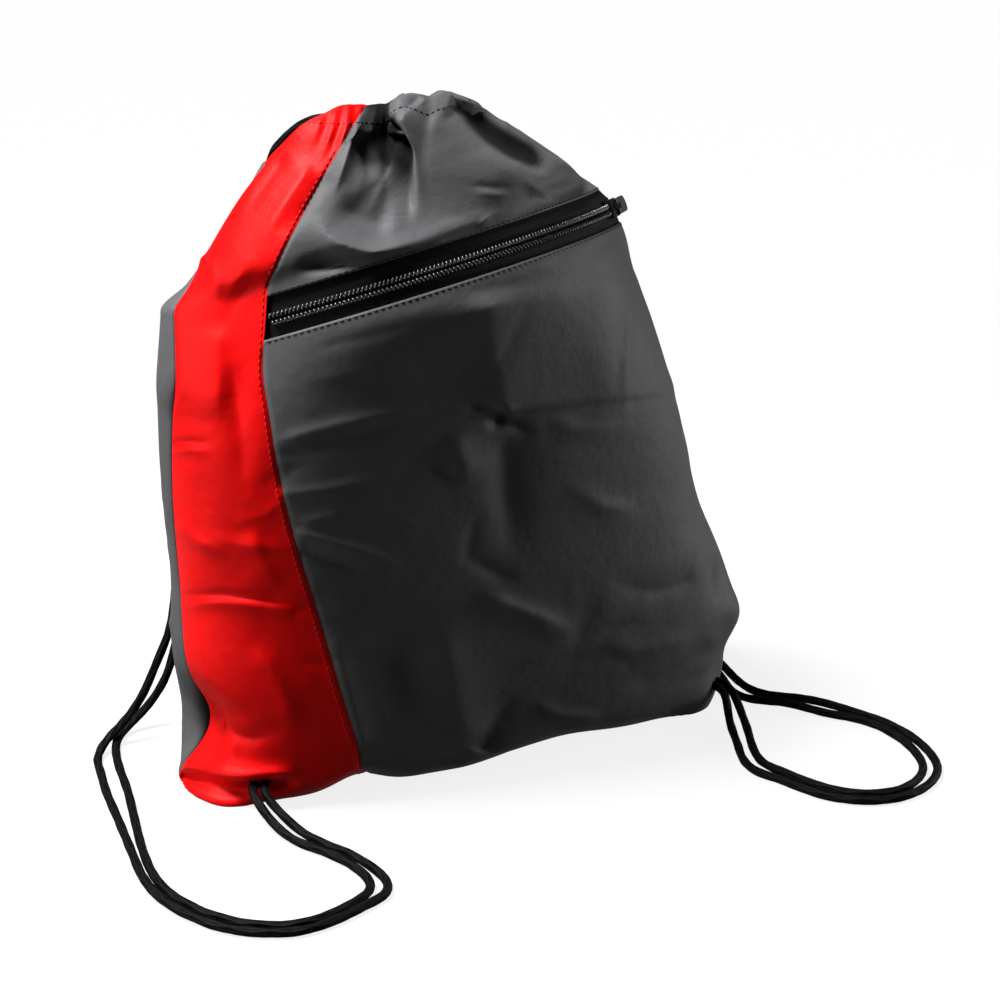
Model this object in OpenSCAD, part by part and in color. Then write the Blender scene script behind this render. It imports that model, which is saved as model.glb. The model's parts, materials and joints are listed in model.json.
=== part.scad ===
// Drawstring backpack, stuffed and standing: five cloth panels, a coil zip across the front
// and two drawcords that gather the hem and hang as doubled shoulder straps.
// +Z is up, the bag stands on z = 0 and its front faces -Y.

/* [Bag] */
// Height of the standing bag, floor to the top of the gathered hem
bag_h = 332; // [280:1:380]
// Width of the bag between its side seams, at the widest level
bag_w = 300; // [260:1:340]
// Depth of the stuffed bag, front to back, at the fullest level
bag_d = 140; // [110:1:160]
// Thickness of a panel, the cloth with its turned seam allowance
cloth_t = 1.2; // [0.8:0.1:1.6]
// How far the gathered top leans to the left of the base
lean = 39; // [20:1:50]

/* [Gathered mouth] */
// Width of the gathered mouth, measured over the hem
mouth_w = 70; // [62:1:90]
// Depth of the gathered mouth, measured over the hem
mouth_d = 42; // [38:1:54]
// Height of the hem tunnel
hem_h = 18; // [16:1:22]
// Room for the cords inside the hem tunnel
tunnel_gap = 8.5; // [8:0.1:10]

/* [Drawcords] */
// Diameter of the braided drawcord
cord_d = 4.5; // [3.5:0.1:4.8]
// Diameter of the opening in each bottom corner that a pair of cords goes through
corner_hole_d = 11.5; // [10.5:0.1:13]
// Height of those openings above the floor
corner_hole_z = 12; // [9:1:16]
// Diameter of the knot that ties a pair of cords inside the corner
knot_d = 15; // [13:0.5:18]

/* [Front zip] */
// Rise of the zip's middle in front of the line between its side seams
zip_bulge = 70; // [62:1:78]
// Width of the tape left showing above the middle of the chain
tape_above = 10.5; // [8:0.5:12]
// Width of the tape left showing below the middle of the chain
tape_below = 8; // [6:0.5:10]
// Width of tape caught under the edge of each panel
tape_lap = 4; // [3:0.5:6]
// Thickness of the woven tape
tape_t = 0.8; // [0.5:0.1:1]
// Slit between the two tapes, in which the slider's post runs
chain_slit = 1.2; // [1:0.1:1.6]
// Width of the closed chain over both coils
chain_w = 6; // [5:0.1:6.6]
// Height of a coil above its tape
coil_h = 2.2; // [1.6:0.1:2.4]
// Distance from one turn of a coil to the next
coil_pitch = 2; // [1.6:0.1:2.6]
// Depth of the pocket between its panel and its lining
pocket_gap = 7; // [6:0.5:10]

/* [Slider and pull] */
// Length of the slider along the zip
slider_l = 9.5; // [8:0.5:12]
// Thickness of the slider's plates
slider_plate = 1.2; // [0.8:0.1:1.4]
// Running clearance of the slider round the chain and the pull's pin
slip = 0.4; // [0.3:0.05:0.5]
// Diameter of the pull's pin under the slider's bridge
pin_d = 1.5; // [1.2:0.1:1.8]
// Width of the slider's bridge
bridge_w = 2; // [1.6:0.1:2.4]
// Length of the pull from its pin
pull_l = 18; // [15:1:26]
// Width of the pull
pull_w = 8; // [7.2:0.2:10]
// Thickness of the pull
pull_t = 1.6; // [1.2:0.1:1.8]

/* [Hidden] */

red = [0.85, 0.02, 0.03];
charcoal = [0.24, 0.25, 0.26];
black = [0.07, 0.07, 0.08];
gunmetal = [0.32, 0.33, 0.34];

// Columns of facets across the front of the bag, across its red side and across its back
front_cols = 28;
side_cols = 9;
back_cols = 28;
// Sides of a cord
cord_sides = 8;

// A level is a closed outline in a tilted plane: [height, middle's x, half width, bulge to the
// front, bulge to the back, squareness of the outline, roll, pitch, share of the front's width
// at which the red panel's seam crosses, share by which the back comes round the left side].
// Lengths are shares of the bag's own sizes.
function level(z, x, w, front, back, square, roll, pitch, seam, wrap) = [
    z * bag_h, -lean * x, w * bag_w / 2, front * bag_d / 2, back * bag_d / 2, square, roll, pitch, seam, wrap
];

BASE_LEVELS = [
    level(0.0000, 0.05, 0.980, 0.66, 0.66, 3.4, 0, 0, 0.410, -0.03),
    level(0.0245, 0.03, 0.980, 0.80, 0.80, 3.2, 0, 0, 0.388, -0.015),
    level(0.0885, -0.01, 0.983, 0.89, 0.90, 3.0, 0, 0, 0.366, 0.01),
    level(0.1815, 0.00, 1.000, 0.95, 0.97, 2.8, 0, 0, 0.341, 0.01),
    level(0.3340, 0.25, 0.928, 0.98, 1.02, 2.6, -1.5, -2, 0.306, -0.02),
    level(0.4810, 0.45, 0.892, 1.00, 1.04, 2.5, -3, -4, 0.278, 0.01),
    level(0.6185, 0.69, 0.838, 1.00, 0.98, 2.3, -6, -9, 0.262, 0.04)
];
// The zip's own level, and the one of the red side and the back at the same height
ZIP = level(0.7463, 0.80, 0.787, zip_bulge * 2 / bag_d, 0.87, 2.1, -10, -18, 0.20, 0.057);
ZIP_SIDE = level(0.7463, 0.50, 0.880, 0.98, 0.90, 2.2, -8, -12, 0.20, 0.057);
SHOULDER = level(0.822, 1.02, 0.654, 0.83, 0.67, 2, -10, -15, 0.265, 0.02);
HEM_TOP = level(1, 0.93, mouth_w / bag_w, mouth_d / bag_d, mouth_d / bag_d, 2, -1, -12, 0.335, 0);
HEM_FOOT = level(1 - hem_h / bag_h, 1.08, 1.56 * mouth_w / bag_w, 1.6 * mouth_d / bag_d,
    1.44 * mouth_d / bag_d, 2, -5, -10, 0.315, 0.01);

// The zip follows one arc, so that its slider can turn about the arc's middle.
zip_half = ZIP[2];
zip_r = (zip_half ^ 2 + zip_bulge ^ 2) / (2 * zip_bulge);
zip_span = asin(zip_half / zip_r);
zip_seam = (2 * ZIP[8] - 1) * zip_span;
// Turn of the slider from the middle of the arc, where it has closed the zip
slider_turn = zip_span - 7.3;

// Heights of the slider's parts above the tape's outer face
plate_h = coil_h + slip;
bridge_h = plate_h + slider_plate;
pin_h = bridge_h + slip + pin_d / 2;
slider_w = chain_w + 2 * (slip + slider_plate);

// Lean of the zip's band towards its arc's axis, and how fast the bag draws in round it
zip_cone = 6;
back_taper = 0.5;
side_taper = 0.3;
// The yoke leans in more towards its right end, from this height above the chain
yoke_rise = 5;
yoke_lean = 0.7;
// Shift of the red seam along the zip for each millimetre of height
seam_slant = 0.00125;

// Share of the hem's width that its slit at each side seam takes
hem_slit = 0.22;
// Shares of the hem's height at which the left and right cords run
left_run = 0.74;
right_run = 0.36;
// Share of the hem's width at which a cord leaves the tunnel
cord_exit = 0.28;
// Share of the hem's width at which it turns round at the far end
cord_turn = 0.84;
// Shares of the width at which the corner openings lie, and their places along the cords' loops
left_hole = 0.215;
right_hole = 0.815;

// Routes of the shoulder straps from the hem's slits to the corner openings. Each cord lies
// down the back of the bag, then loops over the floor to the front corner.
floor_z = 2.5;
LEFT_OUTER = [
    [-68, -8, 329], [-73.5, -1, 327.5], [-77.5, 6, 323], [-82, 12.5, 316.5], [-86, 20, 308], [-86, 26, 297],
    [-91, 30.5, 281], [-98, 39, 258], [-105, 49, 234], [-114, 57, 200], [-121, 58, 160], [-129, 56.5, 120],
    [-134.5, 53.5, 85], [-140, 50, 61], [-149, 50, 41], [-158, 50.5, 23], [-169, 50.5, 10.5], [-178, 46, 6.5],
    [-186, 37, floor_z], [-189, 20, floor_z], [-192, 0, floor_z], [-194, -25, floor_z], [-197, -60, floor_z],
    [-199, -86, floor_z], [-197, -106, floor_z], [-189, -127, floor_z], [-178, -143, floor_z],
    [-163, -154, floor_z], [-148, -159, floor_z], [-131, -157, floor_z], [-114, -151, floor_z],
    [-103, -147, floor_z], [-98, -138, floor_z], [-99, -125, floor_z], [-104, -108, floor_z],
    [-111, -95, floor_z], [-117, -82, floor_z], [-122, -66, 5]
];
LEFT_INNER = [
    [-65.5, 11, 324], [-70.5, 9.5, 324], [-75, 12, 321.5], [-77, 18, 317], [-76.5, 25.5, 309], [-78, 29, 299],
    [-81, 33, 285], [-87, 43, 258], [-93, 52.5, 236], [-103, 62, 200], [-111, 63.5, 160], [-119, 63, 120],
    [-126.5, 62.5, 80], [-135, 62, 43], [-141, 62, 26], [-151.5, 62, 12], [-162, 60.5, 4.5], [-171, 52, floor_z], [-176, 38, floor_z],
    [-179, 22, floor_z], [-182, -3, floor_z], [-187, -32, floor_z], [-192, -62, floor_z], [-194, -87, floor_z],
    [-192, -104, floor_z], [-184.5, -123, floor_z], [-174, -138, floor_z], [-161, -148.5, floor_z],
    [-146, -153.5, floor_z], [-130.5, -151.5, floor_z], [-115, -145.5, floor_z], [-108, -141, floor_z],
    [-105, -133, floor_z], [-106, -122, floor_z], [-110, -109, floor_z], [-117, -96, floor_z],
    [-124, -84, floor_z], [-129, -68, 5]
];
RIGHT_OUTER = [
    [-6, -13.5, 323.5], [0.5, -7, 323], [6, 1, 322.5], [9, 9, 321], [10, 16, 317.5], [9.5, 22, 312.5],
    [8, 27.5, 305], [5, 33, 296], [2.5, 38.5, 286], [3, 44, 276], [5, 51.5, 264], [7, 59.5, 252], [9, 66, 240],
    [11, 70.5, 222], [13, 73, 200], [22, 76, 160], [42, 77, 112], [88, 74, 60],
    [127, 65, 20], [150, 44, 5], [157.5, 18, floor_z], [155.5, -8, floor_z], [153.5, -27, floor_z],
    [155, -41, floor_z], [162, -50, floor_z], [173, -58, floor_z], [181, -67, floor_z], [187, -77, floor_z],
    [192, -87, floor_z], [198, -99, floor_z], [202, -116, floor_z], [201, -137, floor_z],
    [195, -154, floor_z], [183, -165, floor_z], [168, -170.5, floor_z], [152, -170, floor_z],
    [139, -164, floor_z], [128, -154, floor_z], [121, -141, floor_z], [116, -129, floor_z],
    [110, -119, floor_z], [110, -106, floor_z], [116, -90, floor_z], [123, -70, 4]
];
RIGHT_INNER = [
    [-7, 13.5, 320], [-2, 12.5, 321], [2.5, 14.5, 320.5], [4, 19.5, 316.5], [3, 24.5, 311], [1, 29, 304.5],
    [-2.5, 34.5, 296.5], [-5, 39.5, 287], [-5, 43.5, 276], [-4, 51, 264], [-2.5, 60, 252], [0, 66, 239],
    [2, 71, 221], [4.5, 73, 200], [13, 76.5, 158], [34, 78, 110], [80, 75, 56], [118, 66, 17], [142, 44, 4],
    [151, 16, floor_z], [149.5, -8, floor_z], [147, -23, floor_z], [144, -35, floor_z], [146, -45, floor_z],
    [153, -52, floor_z], [163, -59, floor_z], [170, -69, floor_z], [177, -80, floor_z], [185, -88, floor_z],
    [192, -99, floor_z], [195.5, -114, floor_z], [195, -132, floor_z], [189, -150, floor_z],
    [179, -159.5, floor_z], [166, -164.5, floor_z], [152, -163, floor_z], [141, -157, floor_z],
    [133, -148, floor_z], [127, -137, floor_z], [122, -124, floor_z], [117.5, -113, floor_z],
    [121, -97, floor_z], [130, -74, 4]
];

function unit(v) = v / norm(v);
function mix(a, b, k) = a + (b - a) * k;
function smooth(k) = let (t = max(0, min(1, k))) t * t * (3 - 2 * t);

// A point of a level's own plane, turned and moved to its place
function placed(l, p) =
    let (y = p.y * cos(l[7]) - p.z * sin(l[7]), z = p.y * sin(l[7]) + p.z * cos(l[7]))
    [l[1] + p.x * cos(l[6]) + z * sin(l[6]), y, l[0] - p.x * sin(l[6]) + z * cos(l[6])];

// Superellipse half outline at share s of its width, d inside the level's outline
function oval(l, s, d, bulge) =
    let (c = cos(180 * (1 - s)), n = 2 / l[5])
    [(l[2] - d) * sign(c) * abs(c) ^ n, (bulge - d) * sin(180 * (1 - s)) ^ n, 0];

// A level's front and back, d inside the outline and e above its plane
function front(l, s, d, e = 0) =
    let (p = oval(l, s, d, l[3])) placed(l, [p.x, -p.y, e]);
function back(l, s, d, e = 0) =
    let (p = oval(l, s, d, l[4])) placed(l, [p.x, p.y, e]);

// The zip's arc at share s of its width, h outside the tape and e above the chain's middle
function zip_front(s, h, e) =
    let (a = (2 * s - 1) * zip_span, lean_in = max(e - yoke_rise, 0) * yoke_lean * smooth(2 * s - 1),
        r = zip_r + h - e * tan(zip_cone) - lean_in)
    placed(ZIP, [r * sin(a), -r * cos(a) + zip_r - zip_bulge, e]);
// The plain outline of the bag's side at the same height, bulging to the front or to the back
function zip_side(s, h, e, bulge, way) =
    let (c = cos(180 * (1 - s)), t = sin(180 * s), n = ZIP_SIDE[5], r = (abs(c) ^ n + t ^ n) ^ (-1 / n),
        d = cloth_t - h + e * side_taper)
    placed(ZIP_SIDE, [(ZIP_SIDE[2] - d) * r * c, way * (bulge - e * back_taper - d) * r * t, e]);
// The front at the zip, which leaves the plain outline for the arc across the red panel
function zip_skin(s, h, e) =
    let (k = smooth((s - 0.02) / (ZIP[8] - 0.02)))
    k == 1 ? zip_front(s, h, e) : mix(zip_side(s, h, e, ZIP_SIDE[3], -1), zip_front(s, h, e), k);
// The back at the zip, sewn to the right end of the arc
function zip_back(s, h, e) =
    zip_side(s, h, e, ZIP_SIDE[4], 1)
    + (zip_front(1, h, e) - zip_side(1, h, e, ZIP_SIDE[4], 1)) * smooth((s - 0.3) / 0.7);

// A row of a panel is [level, outer face's depth and lift, inner face's depth and lift, seam's
// share, slit's share, back's share of the left side]. A row on the zip has its lift above the
// chain in place of the level.
function row(l, out, in, slit = 0) = [l, out, in, l[8], slit, l[9]];
function zip_row(e) = [e, 0, 0, ZIP[8] + e * seam_slant, 0, ZIP[9]];

ZIP_ROWS = [zip_row(-tape_below - tape_lap), zip_row(-tape_below), zip_row(tape_above), zip_row(tape_above + tape_lap)];
FLOOR_ROWS = [
    for (i = [0 : len(BASE_LEVELS) - 1])
        row(BASE_LEVELS[i], [0, 0], [cloth_t, i == 0 ? cloth_t : 0])
];
hem_in = tunnel_gap + 2 * cloth_t;
function hem_level(k) = mix(HEM_FOOT, HEM_TOP, k);
HEM_ROWS = [
    row(HEM_FOOT, [0, 0], [cloth_t, 0]),
    row(hem_level(0.12), [0, 0], [cloth_t, 0], hem_slit),
    row(hem_level(0.85), [0, 0], [cloth_t, 0], hem_slit),
    row(HEM_TOP, [cloth_t, 0], [1.5 * cloth_t, -cloth_t], hem_slit),
    row(HEM_TOP, [hem_in - cloth_t, 0], [hem_in - 1.5 * cloth_t, -cloth_t], hem_slit),
    row(hem_level(0.85), [hem_in, 0], [hem_in - cloth_t, 0], hem_slit),
    row(hem_level(0.17), [hem_in, 0], [hem_in - cloth_t, 0], hem_slit),
    row(hem_level(0.06), [2 * cloth_t + 0.4, 0], [cloth_t + 0.4, 0], hem_slit)
];
SHOULDER_ROWS = [row(SHOULDER, [0, 0], [cloth_t, 0])];
LOWER_ROWS = concat(FLOOR_ROWS, [ZIP_ROWS[0], ZIP_ROWS[1]]);
UPPER_ROWS = concat([ZIP_ROWS[2], ZIP_ROWS[3]], SHOULDER_ROWS, HEM_ROWS);
ALL_ROWS = concat(LOWER_ROWS, UPPER_ROWS);

// The outer (inside = false) or inner face of a row at share s, which is below 0 where a panel
// comes round the left side
function on_front(r, s, inside, deeper = 0) =
    s < 0 ? on_back(r, -s, inside)
    : is_num(r[0]) ? zip_skin(s, (inside ? 0 : cloth_t) - deeper, r[0])
    : let (f = inside ? r[2] : r[1]) front(r[0], s, f[0] + deeper, f[1]);
function on_back(r, s, inside) =
    s < 0 ? on_front(r, -s, inside)
    : is_num(r[0]) ? zip_back(s, inside ? 0 : cloth_t, r[0])
    : let (f = inside ? r[2] : r[1]) back(r[0], s, f[0], f[1]);

// Shares at which the columns of each panel cross a row
function side_shares(r) = [for (j = [0 : side_cols]) mix(r[4] > 0 ? r[4] : r[5], r[3], j / side_cols)];
function front_shares(r) = [for (j = [0 : front_cols]) mix(r[3], 1 - r[4], j / front_cols)];
function back_shares(r) = [for (j = [0 : back_cols]) mix(1 - r[4], r[4] > 0 ? r[4] : -r[5], j / back_cols)];

// The bottom seam runs from corner to corner under the bag, bowed a little to the front.
seam_bow = 4;
function seam_line(from, to, cols, inside) = [
    for (j = [0 : cols])
        let (s = mix(from, to, j / cols), p = front(BASE_LEVELS[0], s, inside ? cloth_t : 0))
        [0.985 * p.x, -seam_bow * sin(180 * s), inside ? cloth_t : 0]
];

// A closed sheet between two grids of points of the same size, its outer and its inner face
module sheet(outer, inner) {
    rows = len(outer);
    cols = len(outer[0]);
    n = rows * cols;
    function o(i, j) = i * cols + j;
    function q(a, b, c, d) = [[a, b, c], [a, c, d]];
    faces = concat(
        [for (i = [0 : rows - 2], j = [0 : cols - 2], f = q(o(i, j), o(i + 1, j), o(i + 1, j + 1), o(i, j + 1))) f],
        [for (i = [0 : rows - 2], j = [0 : cols - 2],
            f = q(n + o(i, j), n + o(i, j + 1), n + o(i + 1, j + 1), n + o(i + 1, j))) f],
        [for (i = [0 : rows - 2], f = q(o(i, 0), n + o(i, 0), n + o(i + 1, 0), o(i + 1, 0))) f],
        [for (i = [0 : rows - 2],
            f = q(o(i, cols - 1), o(i + 1, cols - 1), n + o(i + 1, cols - 1), n + o(i, cols - 1))) f],
        [for (j = [0 : cols - 2], f = q(o(0, j), o(0, j + 1), n + o(0, j + 1), n + o(0, j))) f],
        [for (j = [0 : cols - 2],
            f = q(o(rows - 1, j), n + o(rows - 1, j), n + o(rows - 1, j + 1), o(rows - 1, j + 1))) f]
    );
    polyhedron([for (r = concat(outer, inner), p = r) p], faces, convexity = 10);
}

// A round cord through a list of points, with given directions at its two ends
module cord(points, first, last) {
    n = len(points);
    run = [
        for (i = [0 : n - 1])
            i == 0 ? unit(first) : i == n - 1 ? unit(last)
            : unit(unit(points[i + 1] - points[i]) + unit(points[i] - points[i - 1]))
    ];
    start = unit(cross(run[0], abs(run[0].z) > 0.9 ? [1, 0, 0] : [0, 0, 1]));
    side = [
        for (i = 0, u = start; i < n; i = i + 1, u = i < n ? unit(u - (u * run[i]) * run[i]) : u) u
    ];
    rings = [
        for (i = [0 : n - 1], k = [0 : cord_sides - 1])
            let (a = 360 * k / cord_sides)
            points[i] + cord_d / 2 * (cos(a) * side[i] + sin(a) * cross(run[i], side[i]))
    ];
    walls = [
        for (i = [0 : n - 2], k = [0 : cord_sides - 1])
            let (a = i * cord_sides + k, b = i * cord_sides + (k + 1) % cord_sides)
            each [[a, a + cord_sides, b], [b, a + cord_sides, b + cord_sides]]
    ];
    ends = [
        for (k = [1 : cord_sides - 2])
            let (e = (n - 1) * cord_sides)
            each [[0, k, k + 1], [e, e + k + 1, e + k]]
    ];
    polyhedron(rings, concat(walls, ends), convexity = 10);
}

// A drawcord in its tunnel, from the front of one slit right round to the back of the same slit
function hem_point(k, s, rear) =
    let (l = hem_level(k), d = cloth_t + tunnel_gap / 2) rear ? back(l, s, d) : front(l, s, d);
function hem_run(k, from_left) =
    let (steps = 13, shares = [for (j = [0 : steps]) mix(cord_exit, cord_turn, j / steps)],
        s = [for (v = shares) from_left ? v : 1 - v])
    concat([for (v = s) hem_point(k, v, false)], [for (j = [0 : steps]) hem_point(k, s[steps - j], true)]);
LEFT_RUN = hem_run(left_run, true);
RIGHT_RUN = hem_run(right_run, false);
function start_way(p) = p[0] - p[1];
function end_way(p) = p[len(p) - 1] - p[len(p) - 2];

// A corner opening: its middle on the panel's outer face and the way out of the bag through it
function corner(s) =
    let (l = mix(BASE_LEVELS[1], BASE_LEVELS[2], (corner_hole_z
            - BASE_LEVELS[1][0]) / (BASE_LEVELS[2][0] - BASE_LEVELS[1][0])),
        a = front(l, s - 0.01, 0), b = front(l, s + 0.01, 0), along = unit(b - a))
    [front(l, s, 0), [along.y, -along.x, 0], along];
LEFT_CORNER = corner(left_hole);
RIGHT_CORNER = corner(right_hole);
// The end of a strap at the face of the knot inside the corner, on the given side of the pair
knot_in = cloth_t + 3;
function corner_end(c, side) = c[0] - knot_in * c[1] + side * 0.62 * cord_d * c[2];
function corner_mouth(c, side) = c[0] + 6 * c[1] + side * 0.62 * cord_d * c[2];

module strap(run_end, way, route, c, side) {
    color(black)
        cord(concat([run_end], route, [corner_mouth(c, side), corner_end(c, side)]), way, -c[1]);
}

// The two cord ends are tied in one knot, flat where the cords run into it.
module knot(c) {
    color(black)
        translate(c[0] - knot_in * c[1])
            rotate([0, 90, atan2(-c[1].y, -c[1].x)])
                rotate_extrude($fn = 48)
                    intersection() {
                        translate([0, knot_d / 4])
                            circle(d = knot_d, $fn = 48);
                        square([knot_d, 2 * knot_d]);
                    }
}

// The bore of an opening reaches this far out of the corner and this far into it.
bore_out = corner_hole_d;
bore_in = 2 * knot_in;
module corner_bore(c) {
    translate(c[0] + bore_out * c[1])
        rotate([0, 90, atan2(-c[1].y, -c[1].x)])
            cylinder(d = corner_hole_d, h = bore_out + bore_in, $fn = 48);
}

module back_panel() {
    color(charcoal)
        sheet(
            concat([seam_line(1, 0, back_cols, false)],
                [for (r = ALL_ROWS) [for (s = back_shares(r)) on_back(r, s, false)]]),
            concat([seam_line(1, 0, back_cols, true)],
                [for (r = ALL_ROWS) [for (s = back_shares(r)) on_back(r, s, true)]])
        );
}

module side_panel() {
    color(red)
        difference() {
            sheet(
                concat([seam_line(0, BASE_LEVELS[0][8], side_cols, false)],
                    [for (r = ALL_ROWS) [for (s = side_shares(r)) on_front(r, s, false)]]),
                concat([seam_line(0, BASE_LEVELS[0][8], side_cols, true)],
                    [for (r = ALL_ROWS) [for (s = side_shares(r)) on_front(r, s, true)]])
            );
            corner_bore(LEFT_CORNER);
        }
}

module yoke_panel() {
    color(charcoal)
        sheet([for (r = UPPER_ROWS) [for (s = front_shares(r)) on_front(r, s, false)]],
            [for (r = UPPER_ROWS) [for (s = front_shares(r)) on_front(r, s, true)]]);
}

module pocket_panel() {
    color(charcoal)
        difference() {
            sheet(
                concat([seam_line(BASE_LEVELS[0][8], 1, front_cols, false)],
                    [for (r = LOWER_ROWS) [for (s = front_shares(r)) on_front(r, s, false)]]),
                concat([seam_line(BASE_LEVELS[0][8], 1, front_cols, true)],
                    [for (r = LOWER_ROWS) [for (s = front_shares(r)) on_front(r, s, true)]])
            );
            corner_bore(RIGHT_CORNER);
        }
}

// The lining hangs behind the pocket panel from under the yoke's edge to above the floor.
LINING_ROWS = concat([for (i = [2 : len(FLOOR_ROWS) - 1]) FLOOR_ROWS[i]], ZIP_ROWS);
function lining_depth(i, j) =
    let (last = len(LINING_ROWS) - 1)
    i == 0 ? 0 : j == 0 || j == front_cols ? (i >= last - 3 ? tape_t : 0)
    : i >= last ? tape_t : pocket_gap;
function lining_face(extra) = [
    for (i = [0 : len(LINING_ROWS) - 1])
        let (r = LINING_ROWS[i], s = front_shares(r))
        [for (j = [0 : front_cols]) on_front(r, s[j], true, lining_depth(i, j) + extra)]
];
module pocket_lining() {
    color(charcoal)
        sheet(lining_face(0), lining_face(cloth_t));
}

// A tape lies under the edge of its panel and shows as far as its coil.
module tape(heights) {
    color(black)
        sheet([for (e = heights) [for (s = front_shares(zip_row(e))) zip_front(s, 0, e)]],
            [for (e = heights) [for (s = front_shares(zip_row(e))) zip_front(s, -tape_t, e)]]);
}
module zip_tape_upper() {
    tape([chain_slit / 2, yoke_rise, tape_above + tape_lap]);
}
module zip_tape_lower() {
    tape([-tape_below - tape_lap, -chain_slit / 2]);
}

// A coil is a ribbed strip along the edge of its tape, with one rib for each turn.
module coil(side) {
    ribs = floor(zip_r * (zip_span - zip_seam) * PI / 180 / coil_pitch) - 1;
    start = ZIP[8] + seam_slant * chain_w / 2;
    shares = [for (i = [0 : 2 * ribs]) mix(start, 1, (i + 1) / (2 * ribs + 2))];
    function section(s, full) =
        let (h = full ? coil_h : 0.7 * coil_h, w = full ? chain_w / 2 : 0.85 * chain_w / 2, g = chain_slit / 2)
        [zip_front(s, 0, side * g), zip_front(s, h, side * g), zip_front(s, h, side * w), zip_front(s, 0, side * w)];
    points = [for (i = [0 : len(shares) - 1], p = section(shares[i], i % 2 == 0)) p];
    n = len(shares);
    function turned(f) = side > 0 ? f : [for (i = [len(f) - 1 : -1 : 0]) f[i]];
    walls = [
        for (i = [0 : n - 2], k = [0 : 3])
            let (a = 4 * i + k, b = 4 * i + (k + 1) % 4)
            each [turned([a, b, a + 4]), turned([b, b + 4, a + 4])]
    ];
    e = 4 * (n - 1);
    ends = [turned([0, 2, 1]), turned([0, 3, 2]), turned([e, e + 1, e + 2]), turned([e, e + 2, e + 3])];
    color(black)
        polyhedron(points, concat(walls, ends), convexity = 10);
}
module zip_coil_upper() {
    coil(1);
}
module zip_coil_lower() {
    coil(-1);
}

// The slider's own frame: x along the zip, -y out of the bag, z up across the chain
module on_zip(turn) {
    translate([ZIP[1], 0, ZIP[0]])
        rotate([ZIP[7], ZIP[6], 0])
            translate([0, zip_r - zip_bulge, 0])
                rotate([0, 0, turn])
                    translate([0, -zip_r, 0])
                        rotate([-zip_cone, 0, 0])
                            children();
}

// A block of the slider between two heights above the tape, centred on the chain
module block(l, w, low, high, x = 0, z = 0) {
    translate([x - l / 2, -high, z - w / 2])
        cube([l, high - low, w]);
}

module zip_slider() {
    flange_w = slider_plate;
    leg = slider_plate;
    bridge_gap = pin_d + 2 * slip;
    color(gunmetal)
        on_zip(slider_turn) {
            block(slider_l, slider_w, plate_h, bridge_h);
            for (side = [-1, 1])
                block(slider_l, flange_w, slip, bridge_h, 0, side * (slider_w - flange_w) / 2);
            block(slider_l, slider_w, -tape_t - slip - slider_plate, -tape_t - slip);
            block(slider_l / 3, chain_slit - 2 * 0.3, -tape_t - slip - slider_plate, bridge_h);
            for (side = [-1, 1])
                block(leg, bridge_w, bridge_h, bridge_h + bridge_gap, side * (bridge_gap + leg) / 2);
            block(bridge_gap + 2 * leg, bridge_w, bridge_h + bridge_gap, bridge_h + bridge_gap + slider_plate);
        }
}

module zip_pull() {
    arm = 2;
    inner_w = bridge_w + 2 * slip;
    color(gunmetal)
        on_zip(slider_turn)
            translate([0, -pin_h, 0])
                difference() {
                    union() {
                        cylinder(d = pin_d, h = pull_w, center = true, $fn = 32);
                        translate([0, -pull_t / 2, -pull_w / 2])
                            cube([pull_l - pull_w / 2, pull_t, pull_w]);
                        translate([pull_l - pull_w / 2, 0, 0])
                            rotate([90, 0, 0])
                                cylinder(d = pull_w, h = pull_t, center = true, $fn = 48);
                    }
                    difference() {
                        translate([-pull_t, -pull_t, -inner_w / 2])
                            cube([2 * pull_t + slider_plate + 2 * arm, 2 * pull_t, inner_w]);
                        cylinder(d = pin_d, h = pull_w, center = true, $fn = 32);
                    }
                }
}

module left_cord_hem() {
    color(black)
        cord(LEFT_RUN, -start_way(LEFT_RUN), end_way(LEFT_RUN));
}
module left_strap_outer() {
    strap(LEFT_RUN[0], start_way(LEFT_RUN), LEFT_OUTER, LEFT_CORNER, 1);
}
module left_strap_inner() {
    strap(LEFT_RUN[len(LEFT_RUN) - 1], end_way(LEFT_RUN), LEFT_INNER, LEFT_CORNER, -1);
}
module left_knot() {
    knot(LEFT_CORNER);
}

module right_cord_hem() {
    color(black)
        cord(RIGHT_RUN, -start_way(RIGHT_RUN), end_way(RIGHT_RUN));
}
module right_strap_outer() {
    strap(RIGHT_RUN[0], start_way(RIGHT_RUN), RIGHT_OUTER, RIGHT_CORNER, -1);
}
module right_strap_inner() {
    strap(RIGHT_RUN[len(RIGHT_RUN) - 1], end_way(RIGHT_RUN), RIGHT_INNER, RIGHT_CORNER, 1);
}
module right_knot() {
    knot(RIGHT_CORNER);
}

back_panel();
side_panel();
yoke_panel();
pocket_panel();
pocket_lining();
zip_tape_upper();
zip_tape_lower();
zip_coil_upper();
zip_coil_lower();
zip_slider();
zip_pull();
left_cord_hem();
left_strap_outer();
left_strap_inner();
left_knot();
right_cord_hem();
right_strap_outer();
right_strap_inner();
right_knot();
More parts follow.
